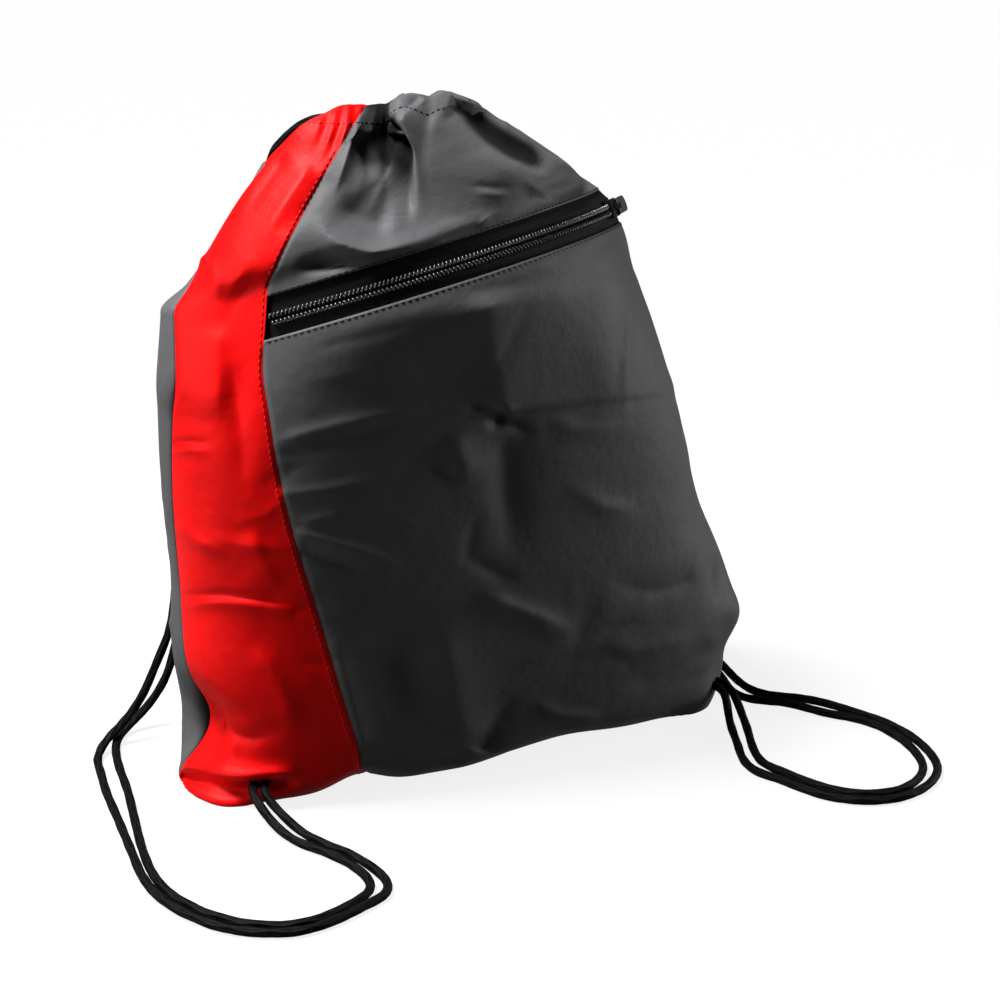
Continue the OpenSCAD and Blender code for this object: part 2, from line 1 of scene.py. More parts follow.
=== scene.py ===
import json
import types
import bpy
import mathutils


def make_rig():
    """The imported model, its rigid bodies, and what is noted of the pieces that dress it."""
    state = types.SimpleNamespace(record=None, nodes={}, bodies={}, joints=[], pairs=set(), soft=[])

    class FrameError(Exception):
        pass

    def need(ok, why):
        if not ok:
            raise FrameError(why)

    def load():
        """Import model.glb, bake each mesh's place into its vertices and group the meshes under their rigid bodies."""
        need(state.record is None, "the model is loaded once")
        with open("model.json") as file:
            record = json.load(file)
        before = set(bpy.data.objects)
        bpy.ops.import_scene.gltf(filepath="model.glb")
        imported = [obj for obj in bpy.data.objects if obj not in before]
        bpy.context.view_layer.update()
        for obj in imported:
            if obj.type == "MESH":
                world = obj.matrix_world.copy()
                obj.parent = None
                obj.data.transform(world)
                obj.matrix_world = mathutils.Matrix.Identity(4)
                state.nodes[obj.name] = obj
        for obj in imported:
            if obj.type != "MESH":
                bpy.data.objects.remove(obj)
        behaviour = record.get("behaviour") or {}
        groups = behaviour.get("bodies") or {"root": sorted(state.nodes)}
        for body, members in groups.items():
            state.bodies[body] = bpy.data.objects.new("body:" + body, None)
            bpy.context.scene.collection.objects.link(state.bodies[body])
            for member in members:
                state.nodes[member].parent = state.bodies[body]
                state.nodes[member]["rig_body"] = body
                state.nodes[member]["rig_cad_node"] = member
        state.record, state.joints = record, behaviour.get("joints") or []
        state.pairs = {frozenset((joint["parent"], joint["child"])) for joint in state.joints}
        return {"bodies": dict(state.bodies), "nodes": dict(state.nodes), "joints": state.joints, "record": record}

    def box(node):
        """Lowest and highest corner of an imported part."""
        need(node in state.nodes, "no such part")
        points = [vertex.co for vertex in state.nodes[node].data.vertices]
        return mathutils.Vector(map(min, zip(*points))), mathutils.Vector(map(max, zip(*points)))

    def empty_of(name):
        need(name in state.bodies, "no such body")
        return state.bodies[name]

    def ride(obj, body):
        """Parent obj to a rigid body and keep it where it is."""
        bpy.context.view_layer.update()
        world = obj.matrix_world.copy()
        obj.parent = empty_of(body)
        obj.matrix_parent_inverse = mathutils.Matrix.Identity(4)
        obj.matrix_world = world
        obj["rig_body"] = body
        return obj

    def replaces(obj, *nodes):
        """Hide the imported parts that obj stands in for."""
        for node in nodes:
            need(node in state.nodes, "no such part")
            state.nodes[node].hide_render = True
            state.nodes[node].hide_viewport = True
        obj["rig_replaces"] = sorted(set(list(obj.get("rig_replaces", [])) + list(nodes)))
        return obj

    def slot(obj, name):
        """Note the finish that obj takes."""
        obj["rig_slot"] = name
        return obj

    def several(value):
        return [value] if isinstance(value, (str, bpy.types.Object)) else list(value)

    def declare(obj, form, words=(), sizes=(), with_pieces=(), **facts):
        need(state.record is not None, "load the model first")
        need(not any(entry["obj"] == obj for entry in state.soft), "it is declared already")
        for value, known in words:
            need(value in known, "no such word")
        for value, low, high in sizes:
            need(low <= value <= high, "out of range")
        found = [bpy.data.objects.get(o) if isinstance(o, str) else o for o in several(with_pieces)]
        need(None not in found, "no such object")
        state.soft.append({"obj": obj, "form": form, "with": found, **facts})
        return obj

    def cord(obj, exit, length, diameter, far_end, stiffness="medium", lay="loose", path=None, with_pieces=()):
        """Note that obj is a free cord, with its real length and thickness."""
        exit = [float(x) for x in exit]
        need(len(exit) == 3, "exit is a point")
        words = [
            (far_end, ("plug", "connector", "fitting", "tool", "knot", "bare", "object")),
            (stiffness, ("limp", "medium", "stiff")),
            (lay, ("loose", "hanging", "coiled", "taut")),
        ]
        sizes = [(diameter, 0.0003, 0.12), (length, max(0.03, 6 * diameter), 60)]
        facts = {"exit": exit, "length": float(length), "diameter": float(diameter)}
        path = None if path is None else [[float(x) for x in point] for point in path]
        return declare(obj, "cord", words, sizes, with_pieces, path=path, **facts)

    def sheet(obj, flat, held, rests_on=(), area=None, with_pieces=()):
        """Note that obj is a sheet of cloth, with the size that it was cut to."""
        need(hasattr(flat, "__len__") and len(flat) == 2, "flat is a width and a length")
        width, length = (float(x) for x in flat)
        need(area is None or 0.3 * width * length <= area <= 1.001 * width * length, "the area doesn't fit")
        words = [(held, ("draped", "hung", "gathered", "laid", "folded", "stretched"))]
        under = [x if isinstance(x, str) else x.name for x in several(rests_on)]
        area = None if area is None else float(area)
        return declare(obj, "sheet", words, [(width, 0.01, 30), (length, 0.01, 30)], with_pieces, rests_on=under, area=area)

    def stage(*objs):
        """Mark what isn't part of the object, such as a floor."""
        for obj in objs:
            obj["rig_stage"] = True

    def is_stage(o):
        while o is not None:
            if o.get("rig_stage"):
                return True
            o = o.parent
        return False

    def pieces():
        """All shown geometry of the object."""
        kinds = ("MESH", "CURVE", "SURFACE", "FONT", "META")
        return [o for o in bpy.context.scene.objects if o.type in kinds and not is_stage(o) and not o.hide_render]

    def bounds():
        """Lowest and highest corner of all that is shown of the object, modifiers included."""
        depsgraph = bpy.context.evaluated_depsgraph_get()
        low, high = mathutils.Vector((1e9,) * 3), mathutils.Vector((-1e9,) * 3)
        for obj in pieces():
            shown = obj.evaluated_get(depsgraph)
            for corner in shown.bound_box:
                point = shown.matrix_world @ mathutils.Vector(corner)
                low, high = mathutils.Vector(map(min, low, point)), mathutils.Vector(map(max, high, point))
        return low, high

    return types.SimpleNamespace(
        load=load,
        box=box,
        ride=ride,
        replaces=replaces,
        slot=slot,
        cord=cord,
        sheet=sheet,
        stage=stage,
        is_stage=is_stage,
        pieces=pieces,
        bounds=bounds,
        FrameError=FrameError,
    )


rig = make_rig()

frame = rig.load()
cad_low, cad_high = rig.bounds()

import json

import bpy
import numpy as np
from mathutils import Matrix, Vector

# Camera. It stands 1.1 m from the middle of the bag's front, to the left of it and above, and
# looks down at it.
view_turn, view_rise = np.radians(-25.0), np.radians(22.0)
view_at, view_far, view_zoom = np.array([-0.005, -0.060, 0.148]), 1.100, 2.288
view_back = np.array(
    [np.sin(view_turn) * np.cos(view_rise), -np.cos(view_turn) * np.cos(view_rise), np.sin(view_rise)]
)
view_right = np.array([np.cos(view_turn), np.sin(view_turn), 0.0])
view_up = np.cross(view_back, view_right)
view_from = view_at + view_far * view_back
view_axes = np.stack([view_right, view_up, view_back], 1)
film, picture_size = 36.0, 1000


def set_out(name, data):
    """A new object with the given mesh, light or camera, put into the scene."""
    made = bpy.data.objects.new(name, data)
    bpy.context.scene.collection.objects.link(made)
    return made


camera = set_out("camera", bpy.data.cameras.new("camera"))
camera.data.sensor_width, camera.data.lens = film, film * view_zoom
camera.data.clip_start, camera.data.clip_end = 0.05, 200.0
camera.matrix_world = Matrix([[*row, place] for row, place in zip(view_axes, view_from)] + [[0, 0, 0, 1]])
bpy.context.scene.camera = camera


def seen(points):
    """Where points show from the front left, in thousandths of the frame from its top left corner:
    their offsets across and down the view, over their distance along it."""
    offset = points - view_from
    depth = -(offset @ view_back)
    across, down = offset @ view_right / depth, -(offset @ view_up) / depth
    return picture_size / 2 + picture_size * view_zoom * np.stack([across, down], -1)


# Panels. Red and black pieces of thin woven polyester, sewn into a sack and stuffed: levels with
# squarish outlines at the floor, rounder ones above, one level bent to the zip's arc, and a hem at
# the top, turned in and gathered. Lengths are in metres; tapers, leans, slants and slits are shares.
bag_height, bag_width, bag_depth, top_lean, cloth = 0.332, 0.300, 0.140, 0.039, 0.0012
mouth_width, mouth_depth, hem_height, tunnel_room = 0.070, 0.042, 0.018, 0.0085
zip_bulge, zip_cone, yoke_lean, back_taper = 0.070, np.tan(np.radians(6)), 0.7, 0.5
tape_above, tape_below, tape_lap = 0.0105, 0.008, 0.004
hem_slit, seam_bow, seam_slant, seam_share = 0.22, 0.004, 1.25, 0.985
slider_top, side_taper, floor_gap, outline_count = 0.005, 0.3, 0.0004, 721
# Places of a level's values in its array
HEIGHT, MIDDLE, HALF, FRONT, BACK, SQUARE, ROLL, PITCH, SEAM, WRAP = range(10)


def level(z, x, half, front, back, square, roll, pitch, seam, wrap):
    """A level's height, middle, half width, bulges, squareness, tilts, the red seam's share of the
    front and the share by which the back panel comes round the left side."""
    return np.array(
        [
            z * bag_height, -top_lean * x, half * bag_width / 2, front * bag_depth / 2, back * bag_depth / 2,
            square, np.radians(roll), np.radians(pitch), seam, wrap,
        ]
    )


base_levels = [
    level(0.0000, 0.05, 0.980, 0.66, 0.66, 3.4, 0, 0, 0.410, -0.03),
    level(0.0245, 0.03, 0.980, 0.80, 0.80, 3.2, 0, 0, 0.388, -0.015),
    level(0.0885, -0.01, 0.983, 0.89, 0.90, 3.0, 0, 0, 0.366, 0.01),
    level(0.1815, 0.00, 1.000, 0.95, 0.97, 2.8, 0, 0, 0.341, 0.01),
    level(0.3340, 0.25, 0.928, 0.98, 1.02, 2.6, -1.5, -2, 0.306, -0.02),
    level(0.4810, 0.45, 0.892, 1.00, 1.04, 2.5, -3, -4, 0.278, 0.01),
    level(0.6185, 0.69, 0.838, 1.00, 0.98, 2.3, -6, -9, 0.262, 0.04),
]
zip_height = 0.7463
zip_level = level(zip_height, 0.80, 0.787, zip_bulge * 2 / bag_depth, 0.87, 2.1, -10, -18, 0.20, 0.048)
zip_side = level(zip_height, 0.50, 0.880, 0.98, 0.90, 2.2, -8, -12, 0.20, 0.048)
shoulder = level(0.822, 0.99, 0.661, 0.83, 0.67, 2.1, -10, -15, 0.265, -0.05)
hem_top = level(
    1, 0.93, mouth_width / bag_width, mouth_depth / bag_depth,
    mouth_depth / bag_depth, 2, -1, -12, 0.335, 0,
)
hem_foot = level(
    1 - hem_height / bag_height, 1.08, 1.56 * mouth_width / bag_width, 1.6 * mouth_depth / bag_depth,
    1.44 * mouth_depth / bag_depth, 2, -5, -10, 0.315, -0.06,
)
zip_half = zip_level[HALF]
zip_radius = (zip_half**2 + zip_bulge**2) / (2 * zip_bulge)
zip_span = np.arcsin(zip_half / zip_radius)


def placed(tier, points):
    """Points of a level's own plane, pitched about its width, rolled about its depth and moved up."""
    x, y, z = points[..., 0], points[..., 1], points[..., 2]
    pitch, roll = tier[PITCH], tier[ROLL]
    y, z = y * np.cos(pitch) - z * np.sin(pitch), y * np.sin(pitch) + z * np.cos(pitch)
    across = tier[MIDDLE] + x * np.cos(roll) + z * np.sin(roll)
    up = tier[HEIGHT] - x * np.sin(roll) + z * np.cos(roll)
    return np.stack([across, y, up], -1)


sweep = np.linspace(np.pi, 0, outline_count)


def oval(tier, bulge, inset=0.0):
    """Half a superellipse in polar form, from the left side seam to the right one."""
    power = tier[SQUARE]
    reach = (np.abs(np.cos(sweep)) ** power + np.sin(sweep) ** power) ** (-1 / power)
    wide, deep = (tier[HALF] - inset) * reach, (bulge - inset) * reach
    return np.stack([wide * np.cos(sweep), deep * np.sin(sweep), 0 * sweep], -1)


def share_place(tier, share):
    """Where a share of the width falls on that half outline, from 0 at its left end to 1."""
    cosine, power = -np.cos(np.pi * share), 2 / tier[SQUARE]
    angle = np.arctan2(np.sin(np.pi * share) ** power, np.sign(cosine) * np.abs(cosine) ** power)
    return 1 - angle / np.pi


def left_place(tier, slit=0.0):
    """Place of the left side seam: before 0 where the red panel goes round to the rear."""
    share = max(slit, tier[WRAP])
    return np.sign(share) * share_place(tier, abs(share))


def around(rear, front):
    """The rear outline from right to left, then the front one from left to right."""
    return np.concatenate([rear[::-1], front[1:]])


def level_row(tier, inset=0.0, slit=None, notch=0.0):
    """A level's outline from its right end round the rear to its right end again, and the places
    on it of the back panel's two ends, the red panel's left edge, the red seam and the right end."""
    front, rear = (
        placed(tier, oval(tier, tier[k], inset) * [1, way, 1]) for k, way in ((FRONT, -1), (BACK, 1))
    )
    left, seam, right = left_place(tier, notch), share_place(tier, tier[SEAM]), share_place(tier, 1 - notch)
    back_right, back_left = -1.0, left
    if slit is not None:
        back_right, back_left = -share_place(tier, 1 - hem_slit), -share_place(tier, slit)
    return around(rear, front), back_right, back_left, left, seam, right


def ramp(t, low, high):
    """Smooth step from 0 at low to 1 at high."""
    t = np.clip((t - low) / (high - low), 0, 1)
    return t * t * (3 - 2 * t)


def zip_points(angle, out, lift):
    """Points on the zip's band, out from the tape and up from the chain at an angle of its arc: a
    cone, whose part above the slider leans in more towards its right end."""
    lean = np.maximum(lift - slider_top, 0) * yoke_lean * ramp(angle, 0, zip_span)
    radius = zip_radius + out - lift * zip_cone - lean
    place = [radius * np.sin(angle), zip_radius - zip_bulge - radius * np.cos(angle), lift + 0 * angle]
    return placed(zip_level, np.stack(np.broadcast_arrays(*place), -1))


def zip_row(lift):
    """The outlines at a height over the chain: the zip's arc between the red seam and the right
    side, and plain ovals for the red side and the back, sewn to the end of that arc."""
    place = np.linspace(0, 1, outline_count)[:, None]
    arc = zip_points(np.linspace(-zip_span, zip_span, outline_count), cloth, lift)
    ovals = (oval(zip_side, zip_side[k] - lift * back_taper, side_taper * lift) for k in (FRONT, BACK))
    front, rear = (placed(zip_side, half * [1, way, 1] + [0, 0, lift]) for half, way in zip(ovals, (-1, 1)))
    front = arc + (front - arc) * (1 - ramp(place, 0.02, zip_level[SEAM]))
    rear = rear + (arc[-1] - rear[-1]) * ramp(place, 0.3, 1)
    left = left_place(zip_side)
    return around(rear, front), -1.0, left, left, zip_level[SEAM] + seam_slant * lift, 1.0


def bottom_row():
    """The bottom seam, from corner to corner under the bag and bowed a little to the front."""
    tier = base_levels[0]
    x = oval(tier, tier[FRONT])[:, 0]
    bow = -seam_bow * np.sqrt(np.clip(1 - np.abs(x / tier[HALF]) ** tier[SQUARE], 0, 1))
    line = np.stack([tier[MIDDLE] + seam_share * x, bow, 0 * x], -1)
    return around(line, line), -1.0, 0.0, 0.0, share_place(tier, tier[SEAM]), 1.0


def hem_level(height):
    """A level of the hem, between its foot at height 0 and its top at height 1."""
    return hem_foot + (hem_top - hem_foot) * height


# Rows of the hem, up its outer layer and down its inner one: a height, how far in the row lies, and
# the shares of the width at which the back's left end and the front's two ends stop, so that the
# tunnel is open at both sides.
hem_in = tunnel_room + 2 * cloth
hem_rows = [
    (0.12, 0, 0.24, 0.0),
    (0.5, -0.0005, 0.30, 0.1),
    (0.85, 0.0005, 0.31, 0.17),
    (1.0, 0.22 * hem_in, 0.31, 0.18),
    (1.0, 0.78 * hem_in, 0.31, 0.18),
    *((height, hem_in, 0.31, 0.18) for height in (0.85, 0.5, 0.17)),
    (0.06, 2 * cloth + 0.0004, 0.31, 0.18),
]
zip_lifts = (-tape_below - tape_lap, -tape_below, tape_above, tape_above + tape_lap)
outlines = [bottom_row()] + [level_row(tier) for tier in base_levels]
outlines += [zip_row(lift) for lift in zip_lifts] + [level_row(shoulder), level_row(hem_foot)]
outlines += [level_row(hem_level(height), inset, slit, notch) for height, inset, slit, notch in hem_rows]


def along(curve, start, end, shares):
    """Points of an outline at equal shares of the length between two of its places."""
    run = np.r_[0, np.cumsum(np.linalg.norm(np.diff(curve, axis=0), axis=1))]
    place = np.linspace(-1, 1, len(curve))
    first, last = np.interp([start, end], place, run)
    at = np.interp(first + (last - first) * shares, run, place)
    return np.stack([np.interp(at, place, curve[:, k]) for k in range(3)], -1)


def loft(rings, knots, rise):
    """A smooth surface through the rings: cubics whose slopes are those of parabolas through three,
    held to 1.6 times the lesser slope beside it, or to that slope where the other is far steeper."""
    step = np.diff(knots)[:, None, None]
    slope = np.diff(rings, axis=0) / step
    inner = (slope[:-1] * step[1:] + slope[1:] * step[:-1]) / (step[1:] + step[:-1])
    steep = np.maximum(np.linalg.norm(slope, axis=-1, keepdims=True), 1e-9)
    lesser = np.where(steep[:-1] < steep[1:], slope[:-1], slope[1:])
    even = ramp(np.minimum(steep[:-1] / steep[1:], steep[1:] / steep[:-1]), 0.2, 0.6)
    inner = lesser + (inner - lesser) * even
    least = 1.6 * np.minimum(steep[:-1], steep[1:])
    inner = inner * np.minimum(1, least / np.maximum(np.linalg.norm(inner, axis=-1, keepdims=True), 1e-9))
    slope = np.concatenate([slope[:1], inner, slope[-1:]])
    i = np.clip(np.searchsorted(knots, rise, "right") - 1, 0, len(step) - 1)
    t, s = ((rise - knots[i]) / np.diff(knots)[i])[:, None, None], step[i]
    return (
        (1 + 2 * t) * (1 - t) ** 2 * rings[i] + t * (1 - t) ** 2 * s * slope[i]
        + t**2 * (3 - 2 * t) * rings[i + 1] + t**2 * (t - 1) * s * slope[i + 1]
    )


def eased(count, edge):
    """Shares from 0 to 1 that lie closer together towards both ends."""
    t = np.linspace(0, 1, count)
    return t - edge * np.sin(2 * np.pi * t) / (2 * np.pi)


side_shares, front_shares, back_shares = eased(61, 0.6), eased(161, 0.6), eased(111, 0.5)
front_rings, back_rings = [], []
for outline, back_right, back_left, left, seam, right in outlines:
    side = along(outline, left, seam, side_shares)[:-1]
    front_rings.append(np.concatenate([side, along(outline, seam, right, front_shares)]))
    back_rings.append(along(outline, back_right, back_left, back_shares))
front_rings, back_rings = np.stack(front_rings), np.stack(back_rings)
knots = np.r_[0, np.cumsum(np.linalg.norm(np.diff(front_rings, axis=0), axis=2).mean(1))]
# How far up the cloth the rows lie that its parts start and end at
lining_foot, pocket_top, yoke_foot, lining_top, shoulder_line = knots[[3, 9, 10, 11, 12]]
hem_line, hem_low, hem_middle, hem_high, rim_outer, rim_inner = knots[13:19]
pocket_count, band_count, yoke_count = 240, 12, 150
rise = np.concatenate(
    [
        np.linspace(0, pocket_top, pocket_count),
        np.linspace(pocket_top, yoke_foot, band_count)[1:],
        np.linspace(yoke_foot, knots[-1], yoke_count)[1:],
    ]
)
pocket_rows, yoke_rows = slice(0, pocket_count), slice(pocket_count + band_count - 2, None)
seam_column = len(side_shares) - 1


def outward(points):
    """Unit normals of a grid of points, from its two sets of differences."""
    normal = np.cross(np.gradient(points, axis=1), np.gradient(points, axis=0))
    return normal / np.maximum(np.linalg.norm(normal, axis=-1, keepdims=True), 1e-12)


front_form = loft(front_rings, knots, rise)
back_form = loft(back_rings, knots, rise)
# The right shoulder is stuffed a little fuller than the levels make it: where it shows in the
# picture, how far that reaches and how high it swells.
full_spot, full_reach, full_swell = (492, 130), 0.026, 0.006
full = front_form.reshape(-1, 3)[np.linalg.norm(seen(front_form) - full_spot, axis=-1).argmin()]
for form in (front_form, back_form):
    far = np.linalg.norm(form - full, axis=-1, keepdims=True) / full_reach
    form += full_swell * np.exp(-(far**2)) * outward(form)
    form[..., 2] = np.maximum(form[..., 2], floor_gap)


# Folds of the cloth. The light fabric is stuffed unevenly: it creases where the hem is gathered,
# pulls in lines from the seams, pinches over the filling and slumps in lobes at its corners.
front_normal, back_normal = outward(front_form), outward(back_form)
sewn = rise <= hem_line
for ours, theirs in ((0, -1), (-1, 0)):
    shared = front_normal[:, ours] + back_normal[:, theirs]
    shared = shared / np.maximum(np.linalg.norm(shared, axis=1, keepdims=True), 1e-9)
    front_normal[sewn, ours] = back_normal[sewn, theirs] = shared[sewn]


def smooth_path(points, count):
    """A smooth curve through a few points, of whatever dimension."""
    points = np.array(points, float)
    at = np.r_[0, np.cumsum(np.linalg.norm(np.diff(points, axis=0), axis=1) ** 0.5)]
    return loft(points[:, None], at, np.linspace(0, at[-1], count))[:, 0]


stroke_count = 80


def stroke(places, path, height, left, right, start, end, power=1.5):
    """A fold along a path over places of the same plane: its height at the path, falling off as a
    bell of one width to the left and another to the right, and fading towards both ends."""
    line = smooth_path(path, stroke_count)
    run = np.gradient(line, axis=0)
    run = run / np.linalg.norm(run, axis=1, keepdims=True)
    reach = 3 * max(left, right)
    near = np.all((places > line.min(0) - reach) & (places < line.max(0) + reach), axis=-1)
    offset = places[near][:, None] - line[None]
    nearest = (offset**2).sum(-1).argmin(1)
    offset = offset[np.arange(len(nearest)), nearest]
    side = run[nearest, 0] * offset[:, 1] - run[nearest, 1] * offset[:, 0]
    far = np.linalg.norm(offset, axis=1) / np.where(side > 0, right, left)
    t = nearest / (stroke_count - 1)
    raised = np.zeros(places.shape[:-1])
    raised[near] = height * np.exp(-(far**power)) * ramp(t, -1e-6, start) * ramp(1 - t, -1e-6, end)
    return raised


# Folds that show from the front left: a path in thousandths of the picture, a height in millimetres,
# the widths to the path's left and right, how soon it starts and ends, and how square its bell is.
lobe_edge = [(390, 100), (397, 120), (412, 137), (422, 150), (421, 176), (418, 200), (416, 226)]
shoulder_ridge = [(420, 96), (440, 106), (458, 116), (476, 136), (503, 158), (535, 173), (570, 192)]
yoke_folds = [
    (lobe_edge, 5.0, 60, 4.5, 0.04, 0.6, 1.6),
    ([(384, 96), (390, 120), (403, 142), (409, 160), (408, 204), (404, 232)], -13.0, 7.5, 28, 0.02, 0.6, 2.2),
    ([(353, 136), (362, 154), (372, 182)], -4.0, 12, 6, 0.15, 0.4, 1.4),
    ([(364, 118), (353, 140), (342, 172), (330, 206)], 4.0, 7, 12, 0.15, 0.5, 1.3),
    ([(336, 198), (362, 216), (398, 224)], -3.6, 22, 14, 0.4, 0.3, 1.8),
    ([(316, 212), (330, 237), (360, 250), (400, 254), (422, 251), (440, 230)], 5.6, 10, 14, 0.3, 0.3, 1.3),
    (shoulder_ridge, 7.0, 4, 60, 0.04, 0.4, 1.5),
    ([(446, 104), (464, 114), (490, 136), (520, 155), (562, 176)], -11.0, 18, 10, 0.12, 0.3, 2.0),
    ([(520, 178), (542, 192), (568, 210)], 2.6, 7, 6, 0.4, 0.15, 1.2),
    ([(470, 190), (492, 194), (516, 196)], 0.8, 3, 4, 0.4, 0.4, 1.2),
    ([(464, 184), (490, 187), (520, 187)], -0.7, 3, 4, 0.4, 0.4),
    ([(478, 222), (486, 228), (490, 232)], 2.4, 8, 6, 0.3, 0.2),
    ([(288, 268), (330, 266), (404, 272)], -5.0, 11, 8, 0.4, 0.4),
]
# The lobe's left edge leans out over the valley beside it: the same, across the view
yoke_slips = [(lobe_edge, -4.4, 24, 6, 0.25, 0.6, 1.8)]
hem_folds = [
    ([(327, 110), (322, 128), (310, 152)], 1.8, 4, 4, 0.05, 0.6, 1.2),
    ([(338, 102), (334, 128), (318, 166)], 2.2, 4, 4, 0.05, 0.6, 1.2),
    ([(350, 102), (345, 132), (330, 172)], 2.2, 4, 4, 0.05, 0.6, 1.2),
    ([(362, 104), (356, 130), (344, 160)], 2.0, 4, 4, 0.05, 0.6, 1.2),
    ([(332, 104), (328, 128), (314, 158)], -1.8, 4, 4, 0.05, 0.6),
    ([(344, 103), (339, 130), (324, 170)], -1.9, 4, 4, 0.05, 0.6),
    ([(356, 103), (351, 130), (338, 164)], -1.8, 4, 4, 0.05, 0.6),
    ([(376, 104), (373, 122), (366, 146)], 2.0, 5, 5, 0.05, 0.6),
    ([(384, 104), (381, 122), (376, 140)], 1.2, 4, 4, 0.05, 0.6),
]
pocket_folds = [
    ([(486, 286), (494, 330), (501, 380), (505, 416)], 6.0, 90, 34, 0.20, 0.06, 1.2),
    ([(458, 403), (486, 409), (506, 417)], -3.4, 6, 9, 0.5, 0.08),
    ([(482, 424), (506, 422), (540, 437)], -3.4, 6, 8, 0.35, 0.4),
    ([(499, 412), (508, 411), (520, 416)], 2.7, 4, 5, 0.4, 0.4),
    ([(505, 424), (504, 470), (509, 520), (517, 580)], -4.6, 26, 14, 0.22, 0.50, 1.6),
    ([(446, 430), (462, 458), (470, 492)], 3.7, 15, 18, 0.4, 0.4),
    ([(268, 444), (330, 425), (400, 411), (470, 405)], 1.1, 6, 9, 0.15, 0.30),
    ([(272, 456), (330, 440), (398, 426), (452, 422)], -1.3, 7, 7, 0.15, 0.45),
    ([(274, 494), (334, 486), (384, 476)], 1.2, 6, 8, 0.10, 0.5),
    ([(292, 530), (330, 540), (372, 553), (410, 574)], 1.6, 6, 8, 0.12, 0.45),
    ([(296, 546), (336, 560), (384, 580)], -1.3, 7, 7, 0.12, 0.5),
    ([(420, 460), (442, 474), (460, 484)], -1.4, 10, 9, 0.45, 0.45),
    ([(460, 550), (490, 570), (524, 583)], -2.4, 9, 9, 0.4, 0.4),
    ([(470, 592), (504, 604), (540, 618), (586, 641)], 4.1, 9, 14, 0.3, 0.35),
    ([(386, 590), (402, 666), (408, 750)], -4.5, 36, 36, 0.5, 0.4, 2.0),
    ([(330, 620), (350, 690), (368, 760)], 2.4, 10, 14, 0.3, 0.2),
    ([(440, 610), (452, 670), (470, 745)], 4.1, 24, 34, 0.35, 0.10),
    ([(480, 752), (496, 720), (520, 690)], -3.4, 10, 12, 0.05, 0.5),
    ([(600, 300), (614, 380), (626, 460)], 2.7, 26, 30, 0.4, 0.4, 2.0),
    ([(560, 480), (604, 506), (650, 520)], 2.2, 12, 15, 0.4, 0.4),
    ([(540, 420), (590, 430), (640, 424)], 2.0, 9, 12, 0.3, 0.5),
    ([(590, 640), (640, 650), (700, 634)], 2.7, 11, 13, 0.35, 0.25),
    ([(620, 690), (660, 676), (716, 640)], -3.1, 10, 10, 0.35, 0.15),
    ([(606, 580), (650, 590), (706, 576)], -2.4, 12, 12, 0.35, 0.2),
    ([(300, 352), (370, 336), (440, 318)], -0.6, 8, 8, 0.3, 0.4),
    ([(300, 380), (360, 372), (430, 366)], 0.5, 8, 8, 0.3, 0.4),
    ([(530, 700), (560, 716), (610, 722)], 2.5, 8, 10, 0.35, 0.3),
]
side_folds = [
    ([(262, 262), (248, 286), (232, 310), (220, 338)], -0.8, 9, 12, 0.35, 0.4),
    ([(254, 250), (238, 278), (220, 310)], 1.0, 10, 8, 0.35, 0.4),
    ([(216, 320), (219, 370), (217, 430)], 2.6, 12, 26, 0.25, 0.35),
    ([(166, 446), (188, 442), (214, 445)], -1.5, 4, 4, 0.1, 0.5),
    ([(168, 452), (190, 449), (216, 452)], 1.2, 4, 5, 0.1, 0.5),
    ([(170, 598), (220, 594), (262, 598), (308, 604)], -1.7, 4, 4, 0.1, 0.3),
    ([(170, 606), (220, 602), (266, 606), (308, 612)], 1.4, 5, 7, 0.1, 0.3),
    ([(314, 160), (284, 204), (256, 250)], 2.7, 8, 10, 0.2, 0.5),
    ([(330, 170), (306, 206), (282, 240)], -2.1, 8, 8, 0.2, 0.5),
    ([(290, 152), (262, 190), (238, 226)], -2.1, 7, 7, 0.2, 0.5),
    ([(196, 250), (212, 272), (222, 306)], 2.1, 8, 8, 0.3, 0.5),
    ([(232, 360), (240, 430), (246, 500)], -1.8, 12, 14, 0.3, 0.4),
    ([(250, 520), (262, 560), (284, 590)], 1.8, 10, 10, 0.3, 0.4),
    ([(176, 520), (200, 540), (236, 548)], 1.4, 7, 7, 0.2, 0.5),
    ([(196, 690), (226, 712), (262, 722)], -2.7, 8, 9, 0.05, 0.6),
    ([(202, 724), (222, 742), (238, 764)], 3.3, 8, 8, 0.10, 0.4),
    ([(206, 734), (248, 738), (290, 726)], -3.0, 8, 7, 0.05, 0.5),
    ([(252, 640), (276, 680), (300, 740)], 1.8, 12, 12, 0.3, 0.3),
    ([(176, 769), (206, 778), (240, 785), (264, 783), (300, 783)], -8.0, 4, 7, 0.02, 0.15, 2.0),
    ([(178, 760), (208, 769), (240, 776), (268, 774), (302, 774)], 3.9, 8, 5, 0.05, 0.2),
]
# Swellings and dents: the place in the picture, and a radius and a height in millimetres
swells = [
    ((203, 726), 20, -11.0), ((180, 770), 11, 5.0), ((226, 800), 15, 7.0), ((196, 792), 11, 4.0),
    ((737, 612), 13, 5.5), ((722, 578), 13, -4.5), ((694, 712), 14, 6.5), ((717, 672), 10, -2.0),
    ((308, 128), 14, 3.5), ((330, 520), 60, 2.0), ((640, 480), 60, -2.0),
]
# Places along the bottom's front edge where it lifts off the floor: x, half width and height, in
# millimetres
lifts = [(-76, 16, 7.5), (36, 30, 4.5), (-20, 14, -1.0)]
# The same along the hem: place across the picture, half width there, and height in millimetres
hem_lifts = [(408, 13, 4.5), (386, 5, -2.0), (374, 9, -1.5), (430, 6, -2.0)]

